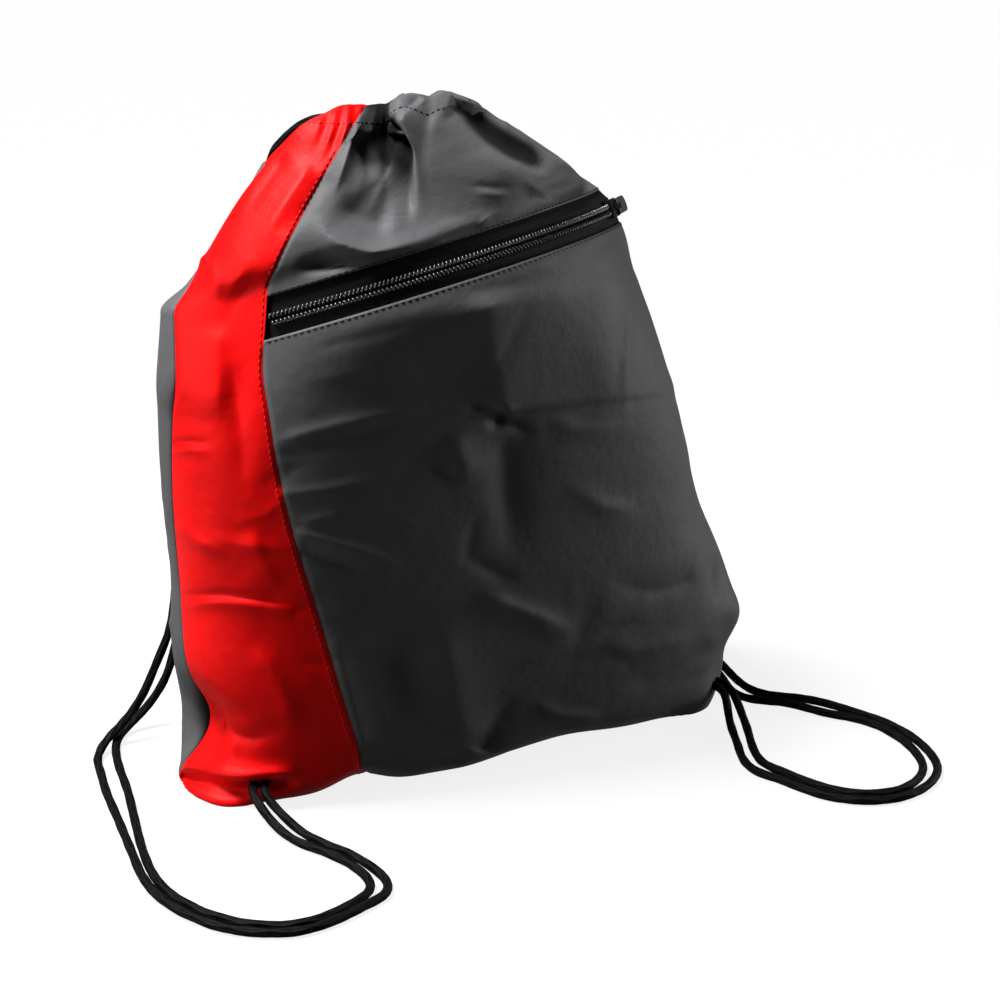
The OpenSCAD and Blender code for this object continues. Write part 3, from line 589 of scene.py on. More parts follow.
# A fold rises straight out of cloth that is seen edge on, and towards the camera's place elsewhere,
# so that it shows where its path lies. The hem's rows go the way of its lowest one.
picture = seen(front_form)
to_view = view_from - front_form
to_view = to_view / np.linalg.norm(to_view, axis=-1, keepdims=True)
facing = (front_normal * to_view).sum(-1)
fold_way = front_normal + (to_view - front_normal) * ramp(facing, 0.10, 0.35)[..., None]
fold_way = fold_way / np.maximum(np.linalg.norm(fold_way, axis=-1, keepdims=True), 1e-9)
facing = ramp(facing, 0.0, 0.14)
crown, brow = rise > hem_low, int(np.searchsorted(rise, hem_low))
for way in (fold_way, front_normal, back_normal, facing):
    way[crown] = way[brow]


def run_across(points):
    """Distance of each point of a grid along its row, from the row's first point."""
    return np.linalg.norm(np.diff(points, axis=1, prepend=points[:, :1]), axis=2).cumsum(1)


def run_up(points):
    """Mean distance of each row of a grid from the first one."""
    return np.linalg.norm(np.diff(points, axis=0, prepend=points[:1]), axis=2).mean(1).cumsum()


def edge_fade(points, width):
    """0 on a grid's two side edges, 1 from the given distance inwards."""
    across = run_across(points)
    return ramp(np.minimum(across, across[:, -1:] - across), 0, width)


# Small creases: how they are turned, their half lengths and widths in metres, how far the two widths
# differ, and their height in millimetres
crease_turn, crease_long, crease_wide, crease_skew = (0.2, 0.8), (0.012, 0.034), (0.0025, 0.006), (0.7, 1.8)
crease_high, crease_count, crease_fade = 0.45, 170, 0.006


def crumple(points, count, seed):
    """Many short shallow creases, strewn over a grid by its own runs across and up."""
    chance = np.random.default_rng(seed)
    across, up = run_across(points), run_up(points)
    centred, up = across - across.mean(1, keepdims=True), np.broadcast_to(up[:, None], across.shape)
    places = np.stack([centred, up], -1)
    low, size = places.min((0, 1)), places.max((0, 1)) - places.min((0, 1))
    raised = np.zeros(across.shape)
    for _ in range(count):
        middle = low + size * chance.random(2)
        turn, long = chance.normal(*crease_turn), chance.uniform(*crease_long)
        way = long * np.array([np.cos(turn), np.sin(turn)])
        bend = chance.normal(0, 0.15) * long * np.array([-np.sin(turn), np.cos(turn)])
        wide = chance.uniform(*crease_wide)
        path = [middle - way, middle + bend, middle + way]
        high = chance.normal(0, crease_high)
        raised += stroke(places, path, high, wide, wide * chance.uniform(*crease_skew), 0.4, 0.4)
    return raised


pleat_foot, pleat_top, pleat_deep, pleat_count = 0.262, 0.318, 1.2, 8


def pleats(points, count, seed, deep):
    """Gathers under the hem: waves across the grid of uneven width, dying out downwards."""
    chance = np.random.default_rng(seed)
    across = run_across(points)
    share = across / across[:, -1:]
    phase = np.interp(share, np.linspace(0, 1, count), np.cumsum(chance.uniform(0.5, 1.5, count)))
    wave = np.cos(2 * np.pi * phase)
    return deep * wave * ramp(points[..., 2], pleat_foot, pleat_top)


# Folds die out towards the zip, where the cloth is sewn flat to its tapes, but not in the red cloth
# away from the zip's end. The cloth sinks into its seams.
zip_fade, zip_end, groove_deep, groove_wide, edge_deep, edge_wide = 0.007, 0.006, 0.8, 0.0013, 0.9, 0.0016
zip_edge = np.minimum(np.abs(rise - pocket_top), np.abs(rise - yoke_foot))
zip_edge[pocket_rows.stop : yoke_rows.start] = 0
off_zip = ramp(zip_edge, 0.0, zip_fade)[:, None] * np.ones(front_form.shape[1])
from_seam = run_across(front_form)[:, seam_column : seam_column + 1] - run_across(front_form)
off_zip = np.where(from_seam > 0, 1 - (1 - off_zip) * np.exp(-from_seam / zip_end), off_zip)

front_folds = sum(stroke(picture, *fold) for fold in yoke_folds + hem_folds + pocket_folds + side_folds)
front_folds = front_folds * facing * off_zip * edge_fade(front_form, crease_fade)
front_folds *= 1 - 0.3 * ramp(rise, hem_low, hem_high)[:, None]
front_slip = sum(stroke(picture, *slip) for slip in yoke_slips) * facing * off_zip
front_rise = crumple(front_form, crease_count, 5) * off_zip * edge_fade(front_form, crease_fade)
back_rise = crumple(back_form, crease_count, 11) + pleats(back_form, pleat_count, 8, pleat_deep)
back_rise = back_rise * edge_fade(back_form, 0.008)
front_rise -= groove_deep * np.exp(-((from_seam / groove_wide) ** 2)) * off_zip

# Below the zip, a swelling isn't put on cloth that faces away where cloth that shows is near.
away, zip_in_picture = 40, 300
for place, radius, height in swells:
    hidden = (facing < 0.01) * (picture[..., 1] > zip_in_picture)
    miss = np.linalg.norm(picture - place, axis=-1) + away * hidden
    middle = front_form.reshape(-1, 3)[miss.argmin()]
    for form, rise_there in ((front_form, front_rise), (back_form, back_rise)):
        far = np.linalg.norm(form - middle, axis=-1) / (radius / 1000)
        rise_there += height * np.exp(-(far**2))
for form, rise_there in ((front_form, front_rise), (back_form, back_rise)):
    across = run_across(form)
    edge = np.minimum(across, across[:, -1:] - across)
    rise_there -= edge_deep * np.exp(-((edge / edge_wide) ** 2)) * sewn[:, None]

front_shift = (front_normal * front_rise[..., None] + fold_way * front_folds[..., None]) / 1000
front_shift += view_right * front_slip[..., None] / 1000
back_shift = back_normal * back_rise[..., None] / 1000
back_drop = 0.005
back_shift[..., 2] -= back_drop * ramp(rise, shoulder_line, hem_high)[:, None] * edge_fade(back_form, 0.02)


def sunk(field, reach):
    """The least value of a grid's field within a number of steps to all sides."""
    for axis in (0, 1):
        wide = np.pad(field, [(reach * (k == axis),) * 2 for k in (0, 1)], mode="edge")
        field = np.lib.stride_tricks.sliding_window_view(wide, 2 * reach + 1, axis=axis).min(-1)
    return field


# The hem's inner layer goes with its outer one, mirrored about the hem's upper edge, and as deep as
# the deepest fold beside it.
upper_edge = (rim_outer + rim_inner) / 2
inner = rise > upper_edge
mirrored = np.clip(np.searchsorted(rise, 2 * upper_edge - rise[inner]), 0, len(rise) - 1)
for shift in (front_shift, back_shift):
    shift[inner] = shift[mirrored]
front_shift[inner] += fold_way[mirrored] * (sunk(front_folds, 9) - front_folds)[mirrored][..., None] / 1000
# The hem's upper edge rises over the lobes of the gathered cloth and sinks between them.
band = ramp(rise, shoulder_line, hem_middle) * (1 - 0.5 * ramp(rise, hem_middle, hem_high))
for place, half, height in hem_lifts:
    lift = height / 1000 * np.exp(-(((picture[..., 0] - place) / half) ** 2))
    front_shift[..., 2] += lift * (band[:, None] * facing)
front_cloth, back_cloth = front_form + front_shift, back_form + back_shift
for cloth_grid in (front_cloth, back_cloth):
    x, y, z = (cloth_grid[..., k] for k in range(3))
    for middle, half, height in lifts:
        lift = height / 1000 * np.exp(-(((x - middle / 1000) / (half / 1000)) ** 2))
        cloth_grid[..., 2] += lift * ramp(-y, 0.004, 0.040) * np.exp(-((z / 0.022) ** 2))
    cloth_grid[..., 2] = np.maximum(cloth_grid[..., 2], floor_gap)


def cloth_piece(name, points, thick, fold_shade=None):
    """A sheet over a grid of points, with its run across and along as a map in metres, and how far
    each point lies in a fold, from 0 to 1, which sets the painted shade that darkens its colour there."""
    rows, columns = points.shape[:2]
    index = np.arange(rows * columns).reshape(rows, columns)
    quads = np.stack([index[:-1, :-1], index[:-1, 1:], index[1:, 1:], index[1:, :-1]], -1).reshape(-1, 4)
    mesh = bpy.data.meshes.new(name)
    mesh.from_pydata(points.reshape(-1, 3).tolist(), [], quads.tolist())
    across, upward = run_across(points), run_up(points)
    across = across - across[:, columns // 2 : columns // 2 + 1]
    spread = np.stack([across, np.broadcast_to(upward[:, None], across.shape)], -1).reshape(-1, 2)
    layer = mesh.uv_layers.new(name="weave")
    layer.data.foreach_set("uv", spread[quads.reshape(-1)].astype(np.float32).reshape(-1))
    if fold_shade is not None:
        depth = mesh.attributes.new("fold_shade", "FLOAT", "POINT")
        depth.data.foreach_set("value", fold_shade.astype(np.float32).reshape(-1))
    mesh.shade_smooth()
    piece = set_out(name, mesh)
    wall = piece.modifiers.new("thickness", "SOLIDIFY")
    wall.thickness, wall.offset = thick, -1
    return piece


class Dye:
    """A socket of a material's nodes: arithmetic on dyes and numbers adds Math nodes."""

    def __init__(self, tree, socket=None):
        self.tree, self.socket = tree, socket

    def fill(self, made, inputs):
        """Link a node's sockets to dyes, or set them to plain values."""
        for key, value in inputs.items():
            if isinstance(value, Dye):
                self.tree.links.new(value.socket, made.inputs[key])
            else:
                made.inputs[key].default_value = value

    def node(self, kind, settings={}, inputs={}, out=0):
        """A new node of a kind, with its settings made first and its sockets filled: one output."""
        made = self.tree.nodes.new("ShaderNode" + kind)
        for key, value in settings.items():
            setattr(made, key, value)
        self.fill(made, inputs)
        return Dye(self.tree, made.outputs[out])

    def math(self, operation, *terms):
        """A Math node on dyes and numbers."""
        return self.node("Math", {"operation": operation}, dict(enumerate(terms)))

    def mix(self, share, first, second):
        """One colour where the share is 0, another where it is 1, and their mean between."""
        first, second = (c if isinstance(c, Dye) else (*c, 1) for c in (first, second))
        return self.node("Mix", {"data_type": "RGBA"}, {0: share, 6: first, 7: second}, 2)

    def noise(self, place, scale, detail=2.0, **more):
        """Soft noise over a place, with so many lumps to the metre."""
        return self.node("TexNoise", {}, {"Vector": place, "Scale": scale, "Detail": detail, **more})

    def bump(self, strength, distance, height):
        """Normals of a surface raised by a height, so many metres where it is 1."""
        sockets = {"Strength": strength, "Distance": distance, "Height": height}
        return self.node("Bump", {}, sockets, "Normal")

    def wave(self, length):
        """Sine of this run, with the given wavelength."""
        return self.math("SINE", self * (2 * np.pi / length))

    # Each operator adds one Math node.
    def __add__(self, other):
        return self.math("ADD", self, other)

    def __sub__(self, other):
        return self.math("SUBTRACT", self, other)

    def __rsub__(self, other):
        return self.math("SUBTRACT", other, self)

    def __mul__(self, other):
        return self.math("MULTIPLY", self, other)

    def __truediv__(self, other):
        return self.math("DIVIDE", self, other)

    def __rtruediv__(self, other):
        return self.math("DIVIDE", other, self)

    __radd__, __rmul__ = __add__, __mul__


def new_finish(name):
    """A new material, a dye to start its nodes from, and its shader."""
    material = bpy.data.materials.new(name)
    material.use_nodes = True
    tree = material.node_tree
    return material, Dye(tree), tree.nodes["Principled BSDF"]


def map_runs(dye, name):
    """A map of the piece, and the two values that it holds."""
    run = dye.node("UVMap", {"uv_map": name})
    return run, *(dye.node("SeparateXYZ", {}, {0: run}, k) for k in (0, 1))


def cloth_finish(name, dark, light, rough, thread=0.0005):
    """Plain-woven polyester: threads crossing at the given spacing, slubs and a faint crumple. Its deep
    folds get painted shade, a darker colour standing in for the little light that comes back out of them, and a duller
    gloss."""
    material, dye, shader = new_finish(name)
    run, across, upward = map_runs(dye, "weave")
    weave = across.wave(2 * thread) * upward.wave(2 * thread)
    place = dye.node("TexCoord", {}, {}, "Object")
    crumple = dye.noise(place, 55.0, 5.0, Roughness=0.55)
    slub, blotch = dye.noise(run, 900.0), dye.noise(place, 25.0, 3.0)
    fold_shade = dye.node("Attribute", {"attribute_name": "fold_shade"}, {}, "Fac")
    shade = blotch * 0.6 + slub * 0.4 + weave * 0.06
    # Painted shade: deep folds darken the colour towards 0.07 of the dark colour.
    colour = dye.mix(fold_shade, dye.mix(shade, dark, light), [0.07 * c for c in dark])
    sockets = {
        "Base Color": colour,
        "Roughness": rough + 0.14 * crumple + 0.5 * fold_shade,
        "Normal": dye.bump(0.5, 0.0012, weave * 0.04 + crumple * 1.6 + slub * 0.05),
        "Specular IOR Level": 0.10,
    }
    dye.fill(shader, sockets)
    return material


red_cloth = cloth_finish("red_cloth", (0.62, 0.0006, 0.0008), (0.78, 0.0016, 0.0018), 0.42)
black_cloth = cloth_finish("black_cloth", (0.056, 0.0565, 0.0585), (0.080, 0.0805, 0.0830), 0.45)


def cut(points):
    """The rectangle that a grid was cut from, by its longest row and mean column, and its own area."""
    width, length = run_across(points)[:, -1].max(), run_up(points)[-1]
    patch = np.cross(np.gradient(points, axis=1), np.gradient(points, axis=0))
    area = np.linalg.norm(patch, axis=-1)[:-1, :-1].sum()
    return dict(flat=(round(width, 3), round(length, 3)), area=round(min(area, width * length), 4))


# How deep in a fold a point lies, from 0 to 1, for the painted shade that darkens the cloth there:
# the greater of its depth below the smooth form and half its depth below the cloth beside it, in
# millimetres. It counts less on the red cloth and on the pocket, whose folds are open.
fold_shallow, fold_deep, beside_steps, red_share, pocket_share = 2, 7.5, 6, 0.2, 0.4
front_fold_shade, back_fold_shade = (
    ramp(np.maximum(-fold, -0.5 * (sunk(-fold, beside_steps) + fold)), fold_shallow, fold_deep)
    for fold in (front_folds + front_rise, back_rise)
)
front_fold_shade[:, :seam_column] *= red_share
front_fold_shade[pocket_rows] *= pocket_share
panel_thick, whole = 0.0008, slice(None)
red_part, black_part = slice(0, seam_column + 1), slice(seam_column, None)
front, back = (front_cloth, front_fold_shade), (back_cloth, back_fold_shade)
for name, node, (grid, fold_shade), where, finish, slot, held in (
    ("red_side", "side_panel", front, (whole, red_part), red_cloth, "red_cloth", "gathered"),
    ("yoke", "yoke_panel", front, (yoke_rows, black_part), black_cloth, "black_cloth", "gathered"),
    ("pocket", "pocket_panel", front, (pocket_rows, black_part), black_cloth, "black_cloth", "stretched"),
    ("back", "back_panel", back, (whole, whole), black_cloth, "black_cloth", "gathered"),
):
    points = grid[where]
    panel = cloth_piece(name, points, panel_thick, fold_shade[where])
    panel.data.materials.append(finish)
    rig.ride(panel, "bag")
    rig.replaces(panel, node)
    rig.slot(panel, slot)
    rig.sheet(panel, held=held, **cut(points))

# Pocket lining. A light woven sheet that makes the pocket's rear wall: it hangs behind the panel,
# sewn in under the upper tape and into the seams at both sides.
pocket_gap, lining_edge, lining_thick = 0.007, 0.0024, 0.0006
lining_rows = (rise >= lining_foot) & (rise <= lining_top)
lining_grid = front_cloth[lining_rows, seam_column:]
up = run_up(lining_grid)
hang = edge_fade(lining_grid, 0.018) * ramp(np.minimum(up, up[-1] - up), 0, 0.010)[:, None]
lining_grid = lining_grid - outward(lining_grid) * (lining_edge + pocket_gap * hang)[..., None]
lining = cloth_piece("lining", lining_grid, lining_thick)
lining_cloth = cloth_finish("lining_cloth", (0.020, 0.0205, 0.022), (0.034, 0.0345, 0.036), 0.55, 0.0004)
lining.data.materials.append(lining_cloth)
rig.ride(lining, "bag")
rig.replaces(lining, "pocket_lining")
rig.slot(lining, "lining_cloth")
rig.sheet(lining, held="hung", **cut(lining_grid))

# Zip tapes. Two woven polyester tapes with a herringbone face, each caught under the edge of its
# panel by a row of stitches, with the chain along their free edges.
chain_slit, tape_thick, tape_dip, tape_rib, tape_turn = 0.0012, 0.0008, 0.0006, 0.0009, 0.004


def tape_grid(low, high, count):
    """The tape's face between two heights over the chain, from the red seam to the right side seam.
    Its edge under the panel dips inwards by the tape's dip."""
    lift = np.linspace(low, high, count)[:, None]
    start = zip_level[SEAM] + seam_slant * lift
    place = start + (1 - start) * np.linspace(0, 1, 241)
    dip = tape_dip * np.maximum(ramp(lift, tape_above - 0.001, high), ramp(-lift, tape_below - 0.001, -low))
    return zip_points(zip_span * (2 * place - 1), -dip + 0 * place, lift + 0 * place)


def tape_finish(name):
    """Black herringbone tape: ribs that turn back every 4 mm, in two close blacks."""
    material, dye, shader = new_finish(name)
    run, across, upward = map_runs(dye, "weave")
    rib = (across + dye.math("PINGPONG", upward, tape_turn)).wave(tape_rib)
    fibre = dye.noise(run, 1400.0)
    shade = 0.3 + rib * 0.2 + fibre * 0.3
    sockets = {
        "Base Color": dye.mix(shade, (0.0016, 0.0016, 0.0018), (0.0045, 0.0045, 0.0050)),
        "Normal": dye.bump(0.6, 0.0003, rib * 0.5 + fibre * 0.4),
        "Roughness": 0.7,
        "Specular IOR Level": 0.1,
    }
    dye.fill(shader, sockets)
    return material


tape_black = tape_finish("tape_black")
for name, low, high in (
    ("upper", chain_slit / 2, tape_above + tape_lap),
    ("lower", -tape_below - tape_lap, -chain_slit / 2),
):
    grid = tape_grid(low, high, 17)
    tape = cloth_piece("tape_" + name, grid, tape_thick)
    tape.data.materials.append(tape_black)
    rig.ride(tape, "bag")
    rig.replaces(tape, "zip_tape_" + name)
    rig.slot(tape, "zip_tape")
    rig.sheet(tape, held="stretched", **cut(grid))

# Zip coils. A nylon filament wound in flat loops along the edge of each tape, 2 mm to a turn, the
# two sides half a turn apart so that their heads mesh.
coil_pitch, coil_wire, coil_near, coil_far, coil_height = 0.002, 0.0010, 0.0003, 0.0031, 0.0023


def tube_rings(path, radius, sides, beside):
    """Rings round a path, in the plane across it, from a direction that isn't along it."""
    run = np.gradient(path, axis=-2)
    run = run / np.linalg.norm(run, axis=-1, keepdims=True)
    side = np.cross(run, beside)
    side = (side / np.linalg.norm(side, axis=-1, keepdims=True))[..., None, :]
    turn = np.linspace(0, 2 * np.pi, sides, endpoint=False)[:, None]
    other = np.cross(run[..., None, :], side)
    return path[..., None, :] + radius * (np.cos(turn) * side + np.sin(turn) * other)


def tubes(name, rings):
    """Closed tubes from sets of rings, counted as tube, ring and place on the ring."""
    count, long, sides = rings.shape[:3]
    index = np.arange(count * long * sides).reshape(count, long, sides)
    beside = np.roll(index, -1, 2)
    quads = np.stack([index[:, :-1], beside[:, :-1], beside[:, 1:], index[:, 1:]], -1).reshape(-1, 4)
    ends = index[:, 0, ::-1].tolist() + index[:, -1].tolist()
    mesh = bpy.data.meshes.new(name)
    mesh.from_pydata(rings.reshape(-1, 3).tolist(), [], quads.tolist() + ends)
    mesh.shade_smooth()
    return set_out(name, mesh)


def nylon_finish(name):
    """Black nylon filament: glossy, rubbed a little duller in places."""
    material, dye, shader = new_finish(name)
    rub = dye.noise(dye.node("TexCoord", {}, {}, "Object"), 420.0)
    colour = dye.mix(rub, (0.020, 0.020, 0.0215), (0.050, 0.050, 0.053))
    dye.fill(shader, {"Base Color": colour, "Roughness": 0.12 + 0.22 * rub})
    return material


coil_black = nylon_finish("coil_black")
chain_start = zip_span * (2 * (zip_level[SEAM] + seam_slant * coil_far) - 1)
coil_turns = int(zip_radius * (zip_span - chain_start) / coil_pitch) - 1
turn_steps, coil_sides, small_angle = 14, 6, 0.001
for name, way, shift in (("upper", 1, 0.5), ("lower", -1, 1.0)):
    turn = np.linspace(0, coil_turns, turn_steps * coil_turns + 1)
    angle = chain_start + (turn + shift) * coil_pitch / zip_radius
    half = (coil_far - coil_near - coil_wire) / 2
    lift = way * ((coil_near + coil_far) / 2 - half * np.cos(2 * np.pi * turn))
    out = coil_height / 2 + (coil_height - coil_wire) / 2 * np.sin(2 * np.pi * turn)
    path = zip_points(angle, out, lift)
    axis = zip_points(angle + small_angle, out, lift) - path
    coil = tubes("coil_" + name, tube_rings(path, coil_wire / 2, coil_sides, axis)[None])
    coil.data.materials.append(coil_black)
    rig.ride(coil, "bag")
    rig.replaces(coil, "zip_coil_" + name)
    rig.slot(coil, "zip_coil")

# Slider and pull. Die-cast zinc, painted black: the slider runs on the chain and the pull hangs
# from its bridge. Both keep their own solid form.
slider_paint, dye, shader = new_finish("slider_paint")
place = dye.node("TexCoord", {}, {}, "Object")
grain, worn = dye.noise(place, 1800.0, 3.0), dye.noise(place, 260.0, 4.0)
bare = dye.node("MapRange", {"interpolation_type": "SMOOTHSTEP"}, {0: worn, 1: 0.60, 2: 0.72})
sockets = {
    "Base Color": dye.mix(bare, (0.006, 0.006, 0.0065), (0.045, 0.045, 0.048)),
    "Roughness": 0.26 + 0.2 * grain,
    "Metallic": 0.15 + 0.6 * bare,
    "Normal": dye.bump(0.25, 0.0002, grain),
}
dye.fill(shader, sockets)
for node in ("zip_slider", "zip_pull"):
    solid = bpy.data.objects[node]
    solid.data.materials.clear()
    solid.data.materials.append(slider_paint)

# Stitching. Spun polyester thread in rows of short stitches: red beside the red panel's seam,
# black along the panels' edges at the zip and under the hem.
thread, stitch_pitch, stitch_share, thread_sides = 0.0006, 0.0032, 0.8, 5


def stitches(name, line, normal, pitch, long):
    """Threads along a line, each a tapered tube over a share of the pitch that rises out of the cloth
    as the root of a half sine and dips into it at both ends."""
    run = np.r_[0, np.cumsum(np.linalg.norm(np.diff(line, axis=0), axis=1))]
    t = np.linspace(0, 1, 6)
    at = pitch * (np.arange(int(run[-1] / pitch))[:, None] + (1 - long) / 2 + long * t)
    middle, up = (np.stack([np.interp(at, run, part[:, k]) for k in range(3)], -1) for part in (line, normal))
    bow = np.sin(np.pi * t) ** 0.5
    path = middle + up * (thread * (0.75 * bow - 0.55))[:, None]
    radius = (thread / 2 * (0.45 + 0.55 * bow))[:, None, None]
    return tubes(name, tube_rings(path, radius, thread_sides, up))


def thread_finish(name, dark, light):
    """Spun thread: fine fibres in two shades."""
    material, dye, shader = new_finish(name)
    fibre = dye.noise(dye.node("TexCoord", {}, {}, "Object"), 3000.0, 1.0)
    sockets = {"Base Color": dye.mix(fibre, dark, light), "Roughness": 0.55, "Specular IOR Level": 0.2}
    dye.fill(shader, sockets)
    return material


red_thread = thread_finish("red_thread", (0.36, 0.001, 0.001), (0.62, 0.004, 0.004))
black_thread = thread_finish("black_thread", (0.002, 0.002, 0.0022), (0.007, 0.007, 0.0075))
hem_row = int(np.searchsorted(rise, hem_middle + 0.3 * (hem_high - hem_middle)))
rows_sewn = slice(2, int(np.searchsorted(rise, hem_low)))
yoke_edge, pocket_edge, seam_edge = yoke_rows.start + 1, pocket_rows.stop - 2, seam_column - 5
red_run, black_run = slice(2, seam_column), slice(seam_column + 2, -2)
front, back = (front_cloth, outward(front_cloth)), (back_cloth, outward(back_cloth))
for name, (grid, face), where, finish, slot in (
    ("red_topstitch", front, (rows_sewn, seam_edge), red_thread, "red_cloth"),
    ("red_hem_stitch", front, (hem_row, red_run), red_thread, "red_cloth"),
    ("yoke_hem_stitch", front, (hem_row, black_run), black_thread, "black_cloth"),
    ("back_hem_stitch", back, (hem_row, slice(2, -2)), black_thread, "black_cloth"),
    ("yoke_edge_stitch", front, (yoke_edge, black_run), black_thread, "black_cloth"),
    ("pocket_edge_stitch", front, (pocket_edge, black_run), black_thread, "black_cloth"),
):
    row = stitches(name, grid[where], face[where], stitch_pitch, stitch_share)
    row.data.materials.append(finish)
    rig.ride(row, "bag")
    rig.slot(row, slot)

# Drawcords. Two braided polyester cords, each knotted inside a bottom corner: it comes out there,
# loops over the floor, climbs the back, runs round the hem's tunnel and comes down beside itself.
cord_width, corner_height, cord_strands, cord_lay, cord_sides = 0.0045, 0.012, 8, 4.2, 16
left_share, right_share, hole_step = 0.215, 0.815, 0.01
# The parts of each cord outside the hem, from the hem to the corner, in millimetres. A cord on the
# floor has its middle at floor_z.
floor_z = 2.5
left_outer = [
    [-68, -8, 329], [-73.5, -1, 327.5], [-77.5, 6, 323], [-82, 12.5, 316.5], [-86, 20, 308], [-86, 26, 297],
    [-91, 30.5, 281], [-98, 39, 258], [-105, 49, 234], [-114, 57, 200], [-121, 58, 160], [-129, 56.5, 120],
    [-134.5, 53.5, 85], [-140, 50, 61], [-149, 50, 41], [-158, 50.5, 23], [-169, 50.5, 10.5], [-178, 46, 6.5],
    [-186, 37, floor_z], [-189, 20, floor_z], [-192, 0, floor_z], [-194, -25, floor_z], [-197, -60, floor_z],
    [-199, -86, floor_z], [-197, -106, floor_z], [-189, -127, floor_z], [-178, -143, floor_z],
    [-163, -154, floor_z], [-148, -159, floor_z], [-131, -157, floor_z], [-114, -151, floor_z],
    [-103, -147, floor_z], [-98, -138, floor_z], [-99, -125, floor_z], [-104, -108, floor_z],
    [-111, -95, floor_z], [-117, -82, floor_z], [-122, -66, 5],
]
left_inner = [
    [-65.5, 11, 324], [-70.5, 9.5, 324], [-75, 12, 321.5], [-77, 18, 317], [-76.5, 25.5, 309], [-78, 29, 299],
    [-81, 33, 285], [-87, 43, 258], [-93, 52.5, 236], [-103, 62, 200], [-111, 63.5, 160], [-119, 63, 120],
    [-126.5, 62.5, 80], [-135, 62, 43], [-141, 62, 26], [-151.5, 62, 12], [-162, 60.5, 4.5],
    [-171, 52, floor_z], [-176, 38, floor_z], [-179, 22, floor_z], [-182, -3, floor_z],
    [-187, -32, floor_z], [-192, -62, floor_z], [-194, -87, floor_z],
    [-192, -104, floor_z], [-184.5, -123, floor_z], [-174, -138, floor_z], [-161, -148.5, floor_z],
    [-146, -153.5, floor_z], [-130.5, -151.5, floor_z], [-115, -145.5, floor_z], [-108, -141, floor_z],
    [-105, -133, floor_z], [-106, -122, floor_z], [-110, -109, floor_z], [-117, -96, floor_z],
    [-124, -84, floor_z], [-129, -68, 5],
]
right_outer = [
    [0.5, -7, 323], [6, 1, 322.5], [9, 9, 321], [10, 16, 317.5], [9.5, 22, 312.5],
    [8, 27.5, 305], [5, 33, 296], [2.5, 38.5, 286], [3, 44, 276], [5, 51.5, 264], [7, 59.5, 252],
    [9, 66, 240], [11, 70.5, 222], [13, 73, 200], [22, 76, 160], [42, 77, 112], [88, 74, 60],
    [127, 65, 20], [150, 44, 5], [157.5, 18, floor_z], [155.5, -8, floor_z], [153.5, -27, floor_z],
    [155, -41, floor_z], [162, -50, floor_z], [173, -58, floor_z], [181, -67, floor_z], [187, -77, floor_z],
    [192, -87, floor_z], [198, -99, floor_z], [202, -116, floor_z], [201, -137, floor_z],
    [195, -154, floor_z], [183, -165, floor_z], [168, -170.5, floor_z], [152, -170, floor_z],
    [139, -164, floor_z], [128, -154, floor_z], [121, -141, floor_z], [116, -129, floor_z],
    [110, -119, floor_z], [110, -106, floor_z], [116, -90, floor_z], [123, -70, 4],
]
right_inner = [
    [-7, 13.5, 320], [-2, 12.5, 321], [2.5, 14.5, 320.5], [4, 19.5, 316.5], [3, 24.5, 311], [1, 29, 304.5],
    [-2.5, 34.5, 296.5], [-5, 39.5, 287], [-5, 43.5, 276], [-4, 51, 264], [-2.5, 60, 252], [0, 66, 239],
    [2, 71, 221], [4.5, 73, 200], [13, 76.5, 158], [34, 78, 110], [80, 75, 56], [118, 66, 17], [142, 44, 4],
    [151, 16, floor_z], [149.5, -8, floor_z], [147, -23, floor_z], [144, -35, floor_z], [146, -45, floor_z],
    [153, -52, floor_z], [163, -59, floor_z], [170, -69, floor_z], [177, -80, floor_z], [185, -88, floor_z],
    [192, -99, floor_z], [195.5, -114, floor_z], [195, -132, floor_z], [189, -150, floor_z],
    [179, -159.5, floor_z], [166, -164.5, floor_z], [152, -163, floor_z], [141, -157, floor_z],
    [133, -148, floor_z], [127, -137, floor_z], [122, -124, floor_z], [117.5, -113, floor_z],
    [121, -97, floor_z], [130, -74, 4],
]


def corner_hole(share):
    """A bottom corner's cord hole: its middle, the way out through it and the way along the cloth."""
    low, high = base_levels[1], base_levels[2]
    outline = level_row(low + (high - low) * (corner_height - low[HEIGHT]) / (high[HEIGHT] - low[HEIGHT]))
    middle, before, after = (
        along(outline[0], 0, share_place(low, share + step), np.ones(1))[0]
        for step in (0, -hole_step, hole_step)
    )
    way = (after - before) / np.linalg.norm(after - before)
    return middle, np.array([way[1], -way[0], 0]), way


def corner_end(hole, side):
    """The last two points of a strap, outside a corner's hole and at the knot inside it."""
    middle, out, way = hole
    return [middle + reach * out + side * 0.62 * cord_width * way for reach in (0.006, -cloth - 0.003)]


def hem_run(height, first, last):
    """A cord's run round the tunnel, between the hem's two layers: along the rear between two
    shares of its width, then back along the front, each eased over the gathers."""
    heights = np.r_[0, [row[0] for row in hem_rows]]
    outer = np.interp(height, heights[:5], knots[13:18])
    inner = np.interp(height, heights[:4:-1], knots[:17:-1])
    outer, inner = np.searchsorted(rise, [outer, inner])
    front, rear = (
        grid[inner] + (grid[outer] - grid[inner]) * share
        for grid, share in ((front_cloth, 0.3), (back_cloth[:, ::-1], 0.5))
    )
    shares, first, last = np.linspace(0, 1, 14), 2 * first - 1, 2 * last - 1
    there, back = along(rear, first, last, shares), along(front, last, first, shares)
    for part in (there, back):
        for _ in range(2):
            part[1:-1] += np.diff(part, 2, axis=0) / 4
    return [*there, *back]


